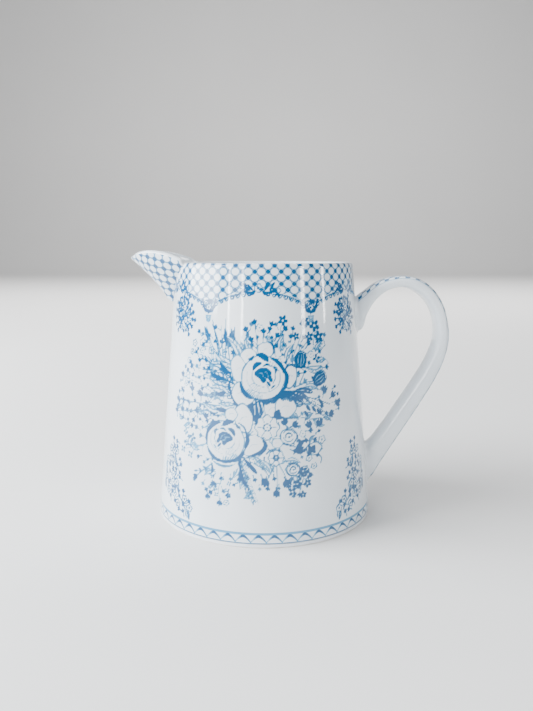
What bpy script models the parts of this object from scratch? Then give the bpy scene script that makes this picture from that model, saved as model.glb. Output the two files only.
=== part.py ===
"""Porcelain cream jug: a tapered slip-cast body on a bare foot ring, with a beak spout and a strap
handle that are each stuck to the wall by a seam of slip.

Metres, +Z up. The table is z = 0, the spout points to -X and the handle to +X. The origin lies under
the middle of the jug's plan, so the body's own axis stands at x = AXIS_X.
"""

import math

import bmesh
import bpy
from mathutils import Matrix, Vector

# The body: outside sizes of the cone, and its wall.
RIM_HEIGHT = 0.1000
RIM_RADIUS = 0.0347
BASE_RADIUS = 0.0432
WALL = 0.0028
FLOOR = 0.0036
FLOOR_FILLET = 0.0050
BASE_EDGE = 0.0006
RECESS = 0.0014

# The foot ring.
FOOT_HEIGHT = 0.0009
FOOT_WIDTH = 0.0044
FOOT_INSET = 0.0003

# The spout. Its keel leaves the wall SPOUT_DROP under the rim and runs straight to the tip.
SPOUT_REACH = 0.0183
SPOUT_DROP = 0.0170
SPOUT_HALF_WIDTH = 0.0199
SPOUT_WALL = 0.0026
SPOUT_LIP_RISE = 0.0047
SPOUT_TIP_RISE = 0.0028
SPOUT_BLUNTNESS = 1.8
SPOUT_SPREAD = 1.2

# The handle. Heights of its joints' middles are under the rim and over the table.
HANDLE_REACH = 0.0364
HANDLE_UPPER_DROP = 0.0193
HANDLE_LOWER_RISE = 0.0190
HANDLE_WIDTH = 0.0110
HANDLE_EDGE = 0.0021

# The slip seams, and the clearance between touching pieces.
LUTE = 0.0008
LUTE_FLARE = 0.0006
GAP = 0.0003

# How finely round shapes are cut.
TURN_STEPS = 72
ARC_STEPS = 6
SPOUT_RINGS = 10
NOSE_STEPS = 10
OUTLINE_STEPS = 6

# The handle's outline seen from the side, as (outward, upward). Outward is a share of HANDLE_REACH
# from the wall at that height, and upward a share of the way from the lower to the upper joint.
# Each run starts and ends inside the wall, where the joint cuts it.
HANDLE_OUTER = (
    (-0.075, 1.045),
    (0.000, 1.085),
    (0.096, 1.125),
    (0.265, 1.190),
    (0.460, 1.223),
    (0.673, 1.214),
    (0.829, 1.159),
    (0.944, 1.059),
    (0.994, 0.940),
    (1.000, 0.820),
    (0.956, 0.714),
    (0.875, 0.606),
    (0.644, 0.391),
    (0.399, 0.186),
    (0.155, -0.017),
    (0.024, -0.126),
    (-0.075, -0.165),
)
HANDLE_INNER = (
    (-0.075, 0.085),
    (0.049, 0.128),
    (0.176, 0.213),
    (0.398, 0.386),
    (0.613, 0.561),
    (0.710, 0.646),
    (0.800, 0.746),
    (0.850, 0.846),
    (0.850, 0.946),
    (0.786, 1.046),
    (0.672, 1.117),
    (0.514, 1.152),
    (0.351, 1.132),
    (0.198, 1.058),
    (0.106, 0.967),
    (0.040, 0.875),
    (-0.075, 0.862),
)

COLOURS = {
    "body": ((0.86, 0.88, 0.90), 0.12),
    "spout": ((0.80, 0.85, 0.90), 0.12),
    "handle": ((0.88, 0.90, 0.92), 0.12),
    "slip_seam": ((0.90, 0.91, 0.92), 0.20),
    "bare_foot": ((0.83, 0.81, 0.77), 0.65),
}

BODY_BOTTOM = FOOT_HEIGHT + GAP
FLOOR_TOP = BODY_BOTTOM + RECESS + FLOOR
FOOT_OUTER = BASE_RADIUS - FOOT_INSET
FOOT_INNER = FOOT_OUTER - FOOT_WIDTH
RECESS_RADIUS = FOOT_INNER - GAP
SPOUT_APEX = RIM_HEIGHT - SPOUT_DROP
SPOUT_TOP = RIM_HEIGHT + 2 * SPOUT_LIP_RISE
SPOUT_TIP = RIM_RADIUS + SPOUT_REACH
UPPER_JOINT = RIM_HEIGHT - HANDLE_UPPER_DROP
LOWER_JOINT = HANDLE_LOWER_RISE
MIDDLE = (UPPER_JOINT + LOWER_JOINT) / 2


def wall_radius(height):
    """The body's outside radius at a height."""
    return BASE_RADIUS + (RIM_RADIUS - BASE_RADIUS) * height / RIM_HEIGHT


def handle_point(outward, upward):
    """A point of the handle's outline, as (distance from the body's axis, height)."""
    height = LOWER_JOINT + upward * (UPPER_JOINT - LOWER_JOINT)
    return wall_radius(height) + outward * HANDLE_REACH, height


AXIS_X = (SPOUT_TIP - max(handle_point(*point)[0] for point in HANDLE_OUTER)) / 2


def clear_scene():
    for thing in list(bpy.data.objects):
        bpy.data.objects.remove(thing, do_unlink=True)


def new_collection(name):
    collection = bpy.data.collections.new(name)
    bpy.context.scene.collection.children.link(collection)
    return collection


clear_scene()
JUG = new_collection("cream_jug")
CUTTERS = new_collection("cutters")


def material(name):
    colour, roughness = COLOURS[name]
    made = bpy.data.materials.get(name) or bpy.data.materials.new(name)
    made.use_nodes = True
    shader = made.node_tree.nodes["Principled BSDF"]
    shader.inputs["Base Color"].default_value = (*colour, 1)
    shader.inputs["Roughness"].default_value = roughness
    shader.inputs["Metallic"].default_value = 0
    made.diffuse_color = (*colour, 1)
    return made


def add_piece(name, data, finish):
    """A visible piece of the jug, standing on the body's axis."""
    piece = bpy.data.objects.new(name, data)
    data.materials.append(material(finish))
    JUG.objects.link(piece)
    piece.location.x = AXIS_X
    return piece


def add_cutter(name, data):
    cutter = bpy.data.objects.new(name, data)
    cutter.hide_render = True
    cutter.display_type = "WIRE"
    CUTTERS.objects.link(cutter)
    cutter.location.x = AXIS_X
    return cutter


def turn(thing):
    """A Screw round the body's axis."""
    screw = thing.modifiers.new("turned", "SCREW")
    screw.steps = TURN_STEPS
    screw.render_steps = TURN_STEPS
    screw.use_merge_vertices = True
    screw.merge_threshold = 0.00001
    screw.use_smooth_shade = True


def profile_mesh(name, points, closed):
    """A profile at +X of (radius, height) points, which runs down its outer side."""
    mesh = bpy.data.meshes.new(name)
    edges = [(i, i + 1) for i in range(len(points) - 1)]
    if closed:
        edges.append((len(points) - 1, 0))
    mesh.from_pydata([(radius, 0, height) for radius, height in points], edges, [])
    return mesh


def arc(centre, radius, start, end):
    """Points round a centre (radius, height), from one angle to another in degrees."""
    angles = [math.radians(start + (end - start) * i / ARC_STEPS) for i in range(ARC_STEPS + 1)]
    return [(centre[0] + radius * math.cos(a), centre[1] + radius * math.sin(a)) for a in angles]


def boolean(thing, other, operation):
    modifier = thing.modifiers.new(f"{operation.lower()} {other.name}", "BOOLEAN")
    modifier.operation = operation
    modifier.solver = "EXACT"
    modifier.object = other


def body_profile():
    """The wall's section, from the floor's middle over the rim and back under the base."""
    rim_round = WALL / 2
    rim_centre = (RIM_RADIUS - rim_round, RIM_HEIGHT - rim_round)
    fillet_height = FLOOR_TOP + FLOOR_FILLET
    fillet_centre = (wall_radius(fillet_height) - WALL - FLOOR_FILLET, fillet_height)
    edge_centre = (wall_radius(BODY_BOTTOM + BASE_EDGE) - BASE_EDGE, BODY_BOTTOM + BASE_EDGE)
    return [
        (0, FLOOR_TOP),
        *arc(fillet_centre, FLOOR_FILLET, -90, 0),
        *arc(rim_centre, rim_round, 180, 0),
        *arc(edge_centre, BASE_EDGE, 0, -90),
        (RECESS_RADIUS, BODY_BOTTOM),
        (RECESS_RADIUS - RECESS, BODY_BOTTOM + RECESS),
        (0, BODY_BOTTOM + RECESS),
    ]


def foot_profile():
    return [
        (FOOT_INNER, FOOT_HEIGHT),
        (FOOT_OUTER, FOOT_HEIGHT),
        (FOOT_OUTER, 0),
        (FOOT_INNER, 0),
    ]


def cone_cutter(name, clearance):
    """The body's outside, grown by a clearance and far longer than the wall."""
    top = RIM_HEIGHT + 3 * SPOUT_LIP_RISE
    bottom = -RIM_HEIGHT / 10
    points = [
        (0, top),
        (wall_radius(top) + clearance, top),
        (wall_radius(bottom) + clearance, bottom),
        (0, bottom),
    ]
    cutter = add_cutter(name, profile_mesh(name, points, False))
    turn(cutter)
    return cutter


def seam_zone(name, low, high):
    """The layer that a slip seam fills between two heights, on the outside of the wall."""
    inner, outer = GAP, GAP + LUTE
    points = [
        (wall_radius(high) + inner, high),
        (wall_radius(high) + outer, high),
        (wall_radius(low) + outer, low),
        (wall_radius(low) + inner, low),
    ]
    zone = add_cutter(name, profile_mesh(name, points, True))
    turn(zone)
    return zone


def beak_ring(height, inset):
    """One level outline of the beak, inset for its inner skin: round its nose, then back inside."""
    climb = min((height - SPOUT_APEX) / SPOUT_DROP, 1)
    keel_climb = (height - SPOUT_APEX) / (SPOUT_DROP + SPOUT_TIP_RISE)
    half = SPOUT_HALF_WIDTH * climb**SPOUT_SPREAD - inset
    root = math.sqrt(wall_radius(height) ** 2 - half**2)
    apex_radius = wall_radius(SPOUT_APEX)
    tip = apex_radius + (SPOUT_TIP - apex_radius) * keel_climb - inset
    ring = []
    for step in range(-NOSE_STEPS, NOSE_STEPS + 1):
        share = step / NOSE_STEPS
        distance = tip - (tip - root) * abs(share) ** SPOUT_BLUNTNESS
        ring.append(Vector((-distance, half * share, height)))
    inside = -wall_radius(height) / 2
    ring.append(Vector((inside, half, height)))
    ring.append(Vector((inside, -half, height)))
    return ring


def beak_mesh(name, inset):
    """The solid inside one skin of the beak, lofted from its lowest level past its lip."""
    lowest = SPOUT_APEX + SPOUT_DROP * (1.25 * inset / SPOUT_HALF_WIDTH + 0.06) ** (1 / SPOUT_SPREAD)
    levels = [lowest + (SPOUT_TOP - lowest) * i / SPOUT_RINGS for i in range(SPOUT_RINGS + 1)]
    mesh = bpy.data.meshes.new(name)
    shape = bmesh.new()
    rings = [[shape.verts.new(point) for point in beak_ring(level, inset)] for level in levels]
    for lower, upper in zip(rings, rings[1:]):
        for i in range(len(lower)):
            j = (i + 1) % len(lower)
            shape.faces.new((lower[i], lower[j], upper[j], upper[i]))
    shape.faces.new(reversed(rings[0]))
    shape.faces.new(rings[-1])
    bmesh.ops.recalc_face_normals(shape, faces=shape.faces)
    shape.to_mesh(mesh)
    shape.free()
    return mesh


def curve_to_mesh(curve, name, turn_matrix):
    """The curve as a welded mesh, turned into place."""
    guide = bpy.data.objects.new(name, curve)
    CUTTERS.objects.link(guide)
    graph = bpy.context.evaluated_depsgraph_get()
    mesh = bpy.data.meshes.new_from_object(guide.evaluated_get(graph))
    bpy.data.objects.remove(guide, do_unlink=True)
    shape = bmesh.new()
    shape.from_mesh(mesh)
    bmesh.ops.remove_doubles(shape, verts=shape.verts, dist=0.00001)
    bmesh.ops.transform(shape, matrix=turn_matrix, verts=shape.verts)
    bmesh.ops.recalc_face_normals(shape, faces=shape.faces)
    shape.to_mesh(mesh)
    shape.free()
    mesh.name = name
    return mesh


def flat_curve(name, runs, half_width, edge, grow):
    """A filled outline of smooth runs of points, thickened to both sides with rounded edges."""
    curve = bpy.data.curves.new(name, "CURVE")
    curve.dimensions = "2D"
    curve.fill_mode = "BOTH"
    curve.resolution_u = OUTLINE_STEPS
    curve.bevel_depth = edge
    curve.bevel_resolution = 2
    curve.offset = grow - edge
    curve.extrude = half_width + grow - edge
    spline = curve.splines.new("BEZIER")
    points = [point for run in runs for point in run]
    spline.bezier_points.add(len(points) - 1)
    spline.use_cyclic_u = True
    ends = {id(run[0]) for run in runs} | {id(run[-1]) for run in runs}
    for knot, point in zip(spline.bezier_points, points):
        knot.co = (*point, 0)
        kind = "VECTOR" if id(point) in ends else "AUTO"
        knot.handle_left_type = kind
        knot.handle_right_type = kind
    return curve


# Turns a curve's own plane upright, so that its first axis is X and its second is Z.
UPRIGHT = Matrix.Rotation(math.radians(90), 4, "X")


def handle_mesh(name, grow):
    runs = [[handle_point(*point) for point in run] for run in (HANDLE_OUTER, HANDLE_INNER)]
    curve = flat_curve(name, runs, HANDLE_WIDTH / 2, HANDLE_EDGE, grow)
    return curve_to_mesh(curve, name, UPRIGHT)


def lip_cutter():
    """Everything over the lip, which rises from the rim to a crown and dips to the tip."""
    mouth = RIM_RADIUS * math.cos(math.asin(SPOUT_HALF_WIDTH / RIM_RADIUS))
    length = SPOUT_TIP - mouth
    far = SPOUT_TIP + SPOUT_REACH
    ceiling = RIM_HEIGHT + 4 * SPOUT_LIP_RISE
    lip = [
        (-mouth, RIM_HEIGHT + GAP),
        (-mouth - 0.38 * length, RIM_HEIGHT + 0.78 * SPOUT_LIP_RISE),
        (-mouth - 0.66 * length, RIM_HEIGHT + SPOUT_LIP_RISE),
        (-mouth - 0.88 * length, RIM_HEIGHT + 0.86 * SPOUT_LIP_RISE),
        (-SPOUT_TIP, RIM_HEIGHT + SPOUT_TIP_RISE),
    ]
    inner = [(0, ceiling), (0, RIM_HEIGHT + GAP)]
    outer = [(-far, RIM_HEIGHT + SPOUT_TIP_RISE), (-far, ceiling)]
    curve = flat_curve("above_lip", [inner, lip, outer], 2 * SPOUT_HALF_WIDTH, 0, 0)
    return add_cutter("above_lip", curve_to_mesh(curve, "above_lip", UPRIGHT))


def build_body(channel):
    body = add_piece("body", profile_mesh("body", body_profile(), False), "body")
    turn(body)
    boolean(body, channel, "DIFFERENCE")


def build_foot():
    foot = add_piece("foot_ring", profile_mesh("foot_ring", foot_profile(), True), "bare_foot")
    turn(foot)


def build_spout(channel, above_lip):
    past_seam = cone_cutter("past_spout_seam", 2 * GAP + LUTE)
    spout = add_piece("spout", beak_mesh("spout", 0), "spout")
    lute = add_piece("spout_seam", beak_mesh("spout_seam", 0), "slip_seam")
    for piece in (spout, lute):
        boolean(piece, channel, "DIFFERENCE")
        boolean(piece, above_lip, "DIFFERENCE")
    boolean(spout, past_seam, "DIFFERENCE")
    boolean(lute, seam_zone("spout_seam_zone", MIDDLE, SPOUT_TOP), "INTERSECT")


def build_handle():
    handle = add_piece("handle", handle_mesh("handle", 0), "handle")
    boolean(handle, cone_cutter("past_handle_seam", 2 * GAP + LUTE), "DIFFERENCE")
    upper = add_piece("upper_handle_seam", handle_mesh("upper_handle_seam", LUTE_FLARE), "slip_seam")
    boolean(upper, seam_zone("upper_seam_zone", MIDDLE, RIM_HEIGHT), "INTERSECT")
    lower = add_piece("lower_handle_seam", handle_mesh("lower_handle_seam", LUTE_FLARE), "slip_seam")
    boolean(lower, seam_zone("lower_seam_zone", BODY_BOTTOM, MIDDLE), "INTERSECT")


def main():
    channel = add_cutter("spout_channel", beak_mesh("spout_channel", SPOUT_WALL))
    build_body(channel)
    build_foot()
    build_spout(channel, lip_cutter())
    build_handle()
    for piece in JUG.objects:
        piece.data.shade_smooth()
        piece.data.set_sharp_from_angle(angle=math.radians(35))


main()
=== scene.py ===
"""Porcelain cream jug: the glazed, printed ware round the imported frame.

The wall, beak, strap handle and foot are thrown, lofted and joined as separate pieces. The blue print under
the glaze is a lattice and a base band in the material, and a floral plate engraved into the wall's attribute.
"""

import logging
import math
import random
from dataclasses import dataclass
from enum import Enum
from typing import Callable, Iterable, Sequence

import bpy
import numpy as np
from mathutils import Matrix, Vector


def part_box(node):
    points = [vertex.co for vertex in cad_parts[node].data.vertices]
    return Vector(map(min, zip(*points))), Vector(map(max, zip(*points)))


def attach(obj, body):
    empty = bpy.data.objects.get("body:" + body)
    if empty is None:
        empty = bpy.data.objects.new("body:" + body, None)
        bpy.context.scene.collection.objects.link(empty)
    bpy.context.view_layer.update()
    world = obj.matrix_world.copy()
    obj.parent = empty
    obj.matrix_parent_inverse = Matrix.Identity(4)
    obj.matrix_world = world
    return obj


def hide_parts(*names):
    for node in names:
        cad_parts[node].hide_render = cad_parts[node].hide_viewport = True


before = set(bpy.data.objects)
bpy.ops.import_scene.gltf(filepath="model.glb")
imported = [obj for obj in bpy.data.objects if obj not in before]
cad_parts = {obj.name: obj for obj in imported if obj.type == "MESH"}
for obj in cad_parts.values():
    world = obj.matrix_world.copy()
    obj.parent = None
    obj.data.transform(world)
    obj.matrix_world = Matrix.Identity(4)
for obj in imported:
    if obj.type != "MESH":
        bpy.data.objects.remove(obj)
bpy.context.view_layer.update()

LOG = logging.getLogger("cream_jug")
MM = 0.001
ROOT = "root"

Point2 = tuple[float, float]
Socket = bpy.types.NodeSocket
Term = float | Socket


# ---------------------------------------------------------------- modelling


def deselect() -> None:
    """Clears the selection, which loading the frame leaves full, and goes back to picking vertices."""
    bpy.ops.object.select_all(action="DESELECT")
    bpy.context.scene.tool_settings.mesh_select_mode = (True, False, False)


def activate(piece: bpy.types.Object) -> None:
    """Makes one object the only one selected, and active.

    Args:
        piece: the object to work on.
    """
    deselect()
    piece.select_set(True)
    bpy.context.view_layer.objects.active = piece


def apply_modifiers(piece: bpy.types.Object) -> None:
    """Applies every modifier of an object, in order.

    Args:
        piece: the object whose stack is applied.
    """
    activate(piece)
    for modifier in list(piece.modifiers):
        bpy.ops.object.modifier_apply(modifier=modifier.name)


def edit(piece: bpy.types.Object, *steps: Callable[[], object]) -> None:
    """Runs edit-mode steps on the whole of one mesh.

    Args:
        piece: the object to edit.
        steps: calls made in edit mode, with everything selected.
    """
    activate(piece)
    bpy.ops.object.mode_set(mode="EDIT")
    bpy.ops.mesh.select_all(action="SELECT")
    for step in steps:
        step()
    bpy.ops.object.mode_set(mode="OBJECT")


def clean(piece: bpy.types.Object, merge: float = 0.004 * MM) -> None:
    """Merges doubles, then turns all normals outwards.

    Args:
        piece: the mesh to clean.
        merge: the distance under which two points are one.
    """
    edit(
        piece,
        lambda: bpy.ops.mesh.remove_doubles(threshold=merge),
        lambda: bpy.ops.mesh.normals_make_consistent(inside=False),
    )


def name_piece(piece: bpy.types.Object, name: str) -> bpy.types.Object:
    """Names an object and its mesh, and returns the object."""
    piece.name = piece.data.name = name
    return piece


def turned(name: str, profile: Sequence[Point2], axis_x: float, steps: int) -> bpy.types.Object:
    """Throws a shape on the wheel: a profile drawn point by point, then spun round the axis.

    Args:
        name: the new object's name.
        profile: (radius, height) points in metres.
        axis_x: where the upright axis stands.
        steps: segments in the full turn.

    Returns:
        The closed, cleaned object.
    """
    deselect()
    radius, height = profile[0]
    bpy.ops.mesh.primitive_plane_add(size=MM, location=(0, 0, 0))
    piece = name_piece(bpy.context.object, name)
    bpy.ops.object.mode_set(mode="EDIT")
    bpy.ops.mesh.merge(type="CENTER")
    bpy.ops.transform.translate(value=(axis_x + radius, 0, height))
    for (r0, z0), (r1, z1) in zip(profile, profile[1:]):
        bpy.ops.mesh.extrude_region_move(TRANSFORM_OT_translate={"value": (r1 - r0, 0, z1 - z0)})
    bpy.ops.mesh.select_all(action="SELECT")
    bpy.ops.mesh.spin(steps=steps, angle=math.tau, center=(axis_x, 0, 0), axis=(0, 0, 1))
    bpy.ops.object.mode_set(mode="OBJECT")
    clean(piece)
    return piece


def loft(name: str, rings: Sequence[np.ndarray], places: np.ndarray | None = None) -> bpy.types.Object:
    """Draws a closed skin through rings of equal point counts, and caps both ends.

    Args:
        name: the new object's name.
        rings: one (points, 3) array for each section, in order.
        places: print coordinates for every ring point, if the piece is printed.

    Returns:
        The closed, cleaned object.
    """
    deselect()
    count = len(rings[0])
    bpy.ops.mesh.primitive_circle_add(vertices=count, radius=MM, fill_type="NOTHING")
    piece = name_piece(bpy.context.object, name)
    bpy.ops.object.mode_set(mode="EDIT")
    for _ in rings[1:]:
        bpy.ops.mesh.extrude_region_move(TRANSFORM_OT_translate={"value": (0, 0, MM)})
    bpy.ops.object.mode_set(mode="OBJECT")
    # Each extrusion appends its ring in the order of the ring before it.
    level, turn = ring_order(piece, count)
    if places is not None:
        keep_place(piece, NET_PLACE, places[level, turn])
    piece.data.vertices.foreach_set("co", np.stack(rings)[level, turn].astype(np.float32).ravel())
    for end in (0, len(rings) - 1):
        cap_end(piece, np.flatnonzero(level == end))
    clean(piece)
    return piece


def ring_order(piece: bpy.types.Object, count: int) -> tuple[np.ndarray, np.ndarray]:
    """Reads which ring, and which point of it, each vertex of a fresh stack is.

    Args:
        piece: the raw stack, one millimetre between rings.
        count: points in a ring.

    Returns:
        The ring and the point, for every vertex in the mesh's own order.
    """
    raw = points_of(piece)
    level = np.rint(raw[:, 2] / MM).astype(int)
    turn = np.rint(np.arctan2(raw[:, 1], raw[:, 0]) / math.tau * count).astype(int) % count
    return level, turn


def cap_end(piece: bpy.types.Object, ring: Iterable[int]) -> None:
    """Fills one open end of a loft.

    Args:
        piece: the open loft.
        ring: the end ring's vertices.
    """
    activate(piece)
    bpy.ops.object.mode_set(mode="EDIT")
    bpy.ops.mesh.select_all(action="DESELECT")
    bpy.ops.object.mode_set(mode="OBJECT")
    for index in ring:
        piece.data.vertices[index].select = True
    bpy.ops.object.mode_set(mode="EDIT")
    bpy.ops.mesh.select_mode(type="VERT")
    bpy.ops.mesh.edge_face_add()
    bpy.ops.object.mode_set(mode="OBJECT")


def arc(centre: Point2, radius: float, start: float, end: float, steps: int) -> list[Point2]:
    """Points of a round stretch of a profile.

    Args:
        centre: the round's centre.
        radius: its radius.
        start: first angle in degrees, from outwards towards up.
        end: last angle in degrees.
        steps: segments between them.

    Returns:
        steps + 1 points.
    """
    angles = np.radians(np.linspace(start, end, steps + 1))
    return [(centre[0] + radius * math.cos(a), centre[1] + radius * math.sin(a)) for a in angles]


def smooth_line(points: Sequence[Sequence[float]], steps: int) -> np.ndarray:
    """A curve through every point, evenly stepped between them.

    Args:
        points: the points to pass through.
        steps: segments between neighbours.

    Returns:
        The curve's points.
    """
    knots = np.asarray(points, float)
    ends = np.vstack([2 * knots[0] - knots[1], knots, 2 * knots[-1] - knots[-2]])
    share = (np.arange(steps) / steps)[:, None]
    made = []
    for a, b, c, d in zip(ends, ends[1:], ends[2:], ends[3:]):
        made.append(
            0.5
            * (
                2 * b
                + (c - a) * share
                + (2 * a - 5 * b + 4 * c - d) * share**2
                + (3 * b - a - 3 * c + d) * share**3
            )
        )
    return np.vstack([*made, knots[-1:]])


# ---------------------------------------------------------------- the wall that all pieces stand on


@dataclass(frozen=True)
class Wall:
    """The tapering wall, in metres, with angles from the front towards the handle."""

    axis_x: float
    base_radius: float
    rim_height: float
    taper: float = 0.085
    thickness: float = 2.8 * MM

    @classmethod
    def from_frame(cls) -> "Wall":
        """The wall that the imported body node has."""
        low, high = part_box("body")
        edge = 0.6 * MM
        lean = cls.taper * (low[2] + edge)
        return cls((low[0] + high[0]) / 2, (high[0] - low[0]) / 2 + lean, high[2])

    def radius(self, height: float) -> float:
        """The outside radius at a height."""
        return self.base_radius - self.taper * height

    def inner_radius(self, height: float) -> float:
        """The inside radius at a height."""
        return self.radius(height) - self.thickness


WALL = Wall.from_frame()


# ---------------------------------------------------------------- glazes


class Graph:
    """The nodes of one material. Each call adds a node and gives back its output."""

    def __init__(self, name: str) -> None:
        """Starts a material.

        Args:
            name: the material's name.
        """
        self.material = bpy.data.materials.new(name)
        self.material.use_nodes = True
        self.tree = self.material.node_tree
        self.shader = self.tree.nodes["Principled BSDF"]

    def node(self, kind: str, **settings: object) -> bpy.types.Node:
        """Adds a node.

        Args:
            kind: its type name, without ShaderNode.
            settings: values of its own properties.

        Returns:
            The node.
        """
        made = self.tree.nodes.new(f"ShaderNode{kind}")
        for key, value in settings.items():
            setattr(made, key, value)
        return made

    def feed(self, socket: Socket, term: Term) -> None:
        """Gives a socket a number or a link."""
        if isinstance(term, Socket):
            self.tree.links.new(term, socket)
        else:
            socket.default_value = term

    def math(self, operation: str, *terms: Term) -> Socket:
        """Adds a Math node.

        Args:
            operation: the Math operation's name.
            terms: numbers or outputs, in order.

        Returns:
            Its value.
        """
        made = self.node("Math", operation=operation)
        for socket, term in zip(made.inputs, terms):
            self.feed(socket, term)
        return made.outputs[0]

    def rise(self, value: Term, low: float, high: float) -> Socket:
        """A smooth step, from 0 at low to 1 at high, or falling where high is the lower one.

        Args:
            value: what is measured.
            low: where the step starts.
            high: where it ends.

        Returns:
            The step's value.
        """
        made = self.node("MapRange", interpolation_type="SMOOTHSTEP")
        up = high > low
        self.feed(made.inputs["Value"], value)
        made.inputs["From Min"].default_value = min(low, high)
        made.inputs["From Max"].default_value = max(low, high)
        made.inputs["To Min"].default_value = 0.0 if up else 1.0
        made.inputs["To Max"].default_value = 1.0 if up else 0.0
        return made.outputs["Result"]

    def most(self, *terms: Term) -> Term:
        """The largest of several values."""
        best = terms[0]
        for term in terms[1:]:
            best = self.math("MAXIMUM", best, term)
        return best

    def noise(self, place: Socket, size: float, detail: float = 2.0) -> Socket:
        """Soft noise.

        Args:
            place: where it is read.
            size: the size of its features in metres.
            detail: octaves.

        Returns:
            A value about 0.5.
        """
        made = self.node("TexNoise")
        self.tree.links.new(place, made.inputs["Vector"])
        made.inputs["Scale"].default_value = 1 / size
        made.inputs["Detail"].default_value = detail
        return made.outputs["Fac"]

    def mix(self, share: Term, first: Sequence[float] | Socket, second: Sequence[float] | Socket) -> Socket:
        """A blend of two colours.

        Args:
            share: how much of the second.
            first: the first colour.
            second: the second colour.

        Returns:
            The blended colour.
        """
        made = self.node("Mix", data_type="RGBA")
        self.feed(made.inputs["Factor"], share)
        for socket, colour in zip((made.inputs[6], made.inputs[7]), (first, second)):
            self.feed(socket, colour if isinstance(colour, Socket) else (*colour, 1))
        return made.outputs[2]


@dataclass(frozen=True)
class Lattice:
    """The print's trellis: dark dots on a slanting net, with a light ring round each white cell."""

    step: float = 3.08 * MM
    dot: float = 0.76 * MM
    ring: float = 1.45 * MM
    line: float = 0.14 * MM
    ring_tone: float = 0.70
    dot_tone: float = 0.95

    def ink(self, graph: Graph, along: Socket, down: Socket) -> Socket:
        """Draws the net.

        Args:
            graph: the material it is drawn in.
            along: net coordinate that counts dots one way.
            down: net coordinate that counts dots the other way.

        Returns:
            The ink, from 0 to 1.
        """
        near = [graph.math("PINGPONG", value, 0.5) for value in (along, down)]
        far = [graph.math("SUBTRACT", 0.5, value) for value in near]
        to_dot = self.distance(graph, near)
        to_cell = self.distance(graph, far)
        soft = 0.16 * MM / self.step
        dot = graph.rise(to_dot, self.dot / self.step + soft, self.dot / self.step - soft)
        off_ring = graph.math("ABSOLUTE", graph.math("SUBTRACT", to_cell, self.ring / self.step))
        line = graph.rise(off_ring, self.line / self.step + soft, self.line / self.step - soft)
        return graph.most(
            graph.math("MULTIPLY", dot, self.dot_tone), graph.math("MULTIPLY", line, self.ring_tone)
        )

    @staticmethod
    def distance(graph: Graph, pair: Sequence[Socket]) -> Socket:
        """The length of a pair of coordinates, in cells."""
        first, second = pair
        squares = graph.math("MULTIPLY_ADD", second, second, graph.math("MULTIPLY", first, first))
        return graph.math("SQRT", squares)


@dataclass(frozen=True)
class Glaze:
    """Clear glaze over blue underglaze print on white porcelain."""

    porcelain: tuple[float, float, float] = (0.75, 0.805, 0.85)
    shade: tuple[float, float, float] = (0.70, 0.76, 0.81)
    wash: tuple[float, float, float] = (0.09, 0.31, 0.51)
    cobalt: tuple[float, float, float] = (0.002, 0.068, 0.19)
    roughness: float = 0.07
    ripple: float = 0.055 * MM

    def dress(self, graph: Graph, ink: Term) -> bpy.types.Material:
        """Finishes a material from its ink.

        Args:
            graph: the material.
            ink: the print's tone, from 0 to 1.

        Returns:
            The finished material.
        """
        place = graph.node("TexCoord").outputs["Object"]
        cloud = graph.rise(graph.noise(place, 22 * MM), 0.35, 0.65)
        white = graph.mix(cloud, self.porcelain, self.shade)
        worn = graph.math("MULTIPLY_ADD", graph.noise(place, 1.3 * MM), 0.5, 0.72)
        tone = graph.math("MULTIPLY", ink, worn)
        pale = graph.mix(graph.rise(tone, 0.0, 0.42), white, self.wash)
        graph.feed(graph.shader.inputs["Base Color"],
            graph.mix(graph.rise(tone, 0.3, 0.95), pale, self.cobalt))
        gloss = graph.math("MULTIPLY_ADD", graph.noise(place, 9 * MM, 3.0), 0.08, self.roughness - 0.03)
        graph.feed(graph.shader.inputs["Roughness"], gloss)
        graph.shader.inputs["IOR"].default_value = 1.52
        graph.shader.inputs["Coat Weight"].default_value = 0.35
        graph.shader.inputs["Coat Roughness"].default_value = 0.04
        self.ripples(graph, place)
        return graph.material

    def ripples(self, graph: Graph, place: Socket) -> None:
        """Lets the glaze pool a little, in long upright waves and a fine orange peel.

        Args:
            graph: the material.
            place: object coordinates.
        """
        stretch = graph.node("Mapping")
        stretch.inputs["Scale"].default_value = (1.0, 1.0, 0.45)
        graph.feed(stretch.inputs["Vector"], place)
        waves = graph.noise(stretch.outputs["Vector"], 9 * MM, 1.0)
        peel = graph.noise(place, 1.6 * MM, 1.0)
        height = graph.math("MULTIPLY_ADD", peel, 0.035, waves)
        bump = graph.node("Bump")
        bump.inputs["Strength"].default_value = 1.0
        bump.inputs["Distance"].default_value = self.ripple
        graph.feed(bump.inputs["Height"], height)
        graph.feed(graph.shader.inputs["Normal"], bump.outputs["Normal"])


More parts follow.
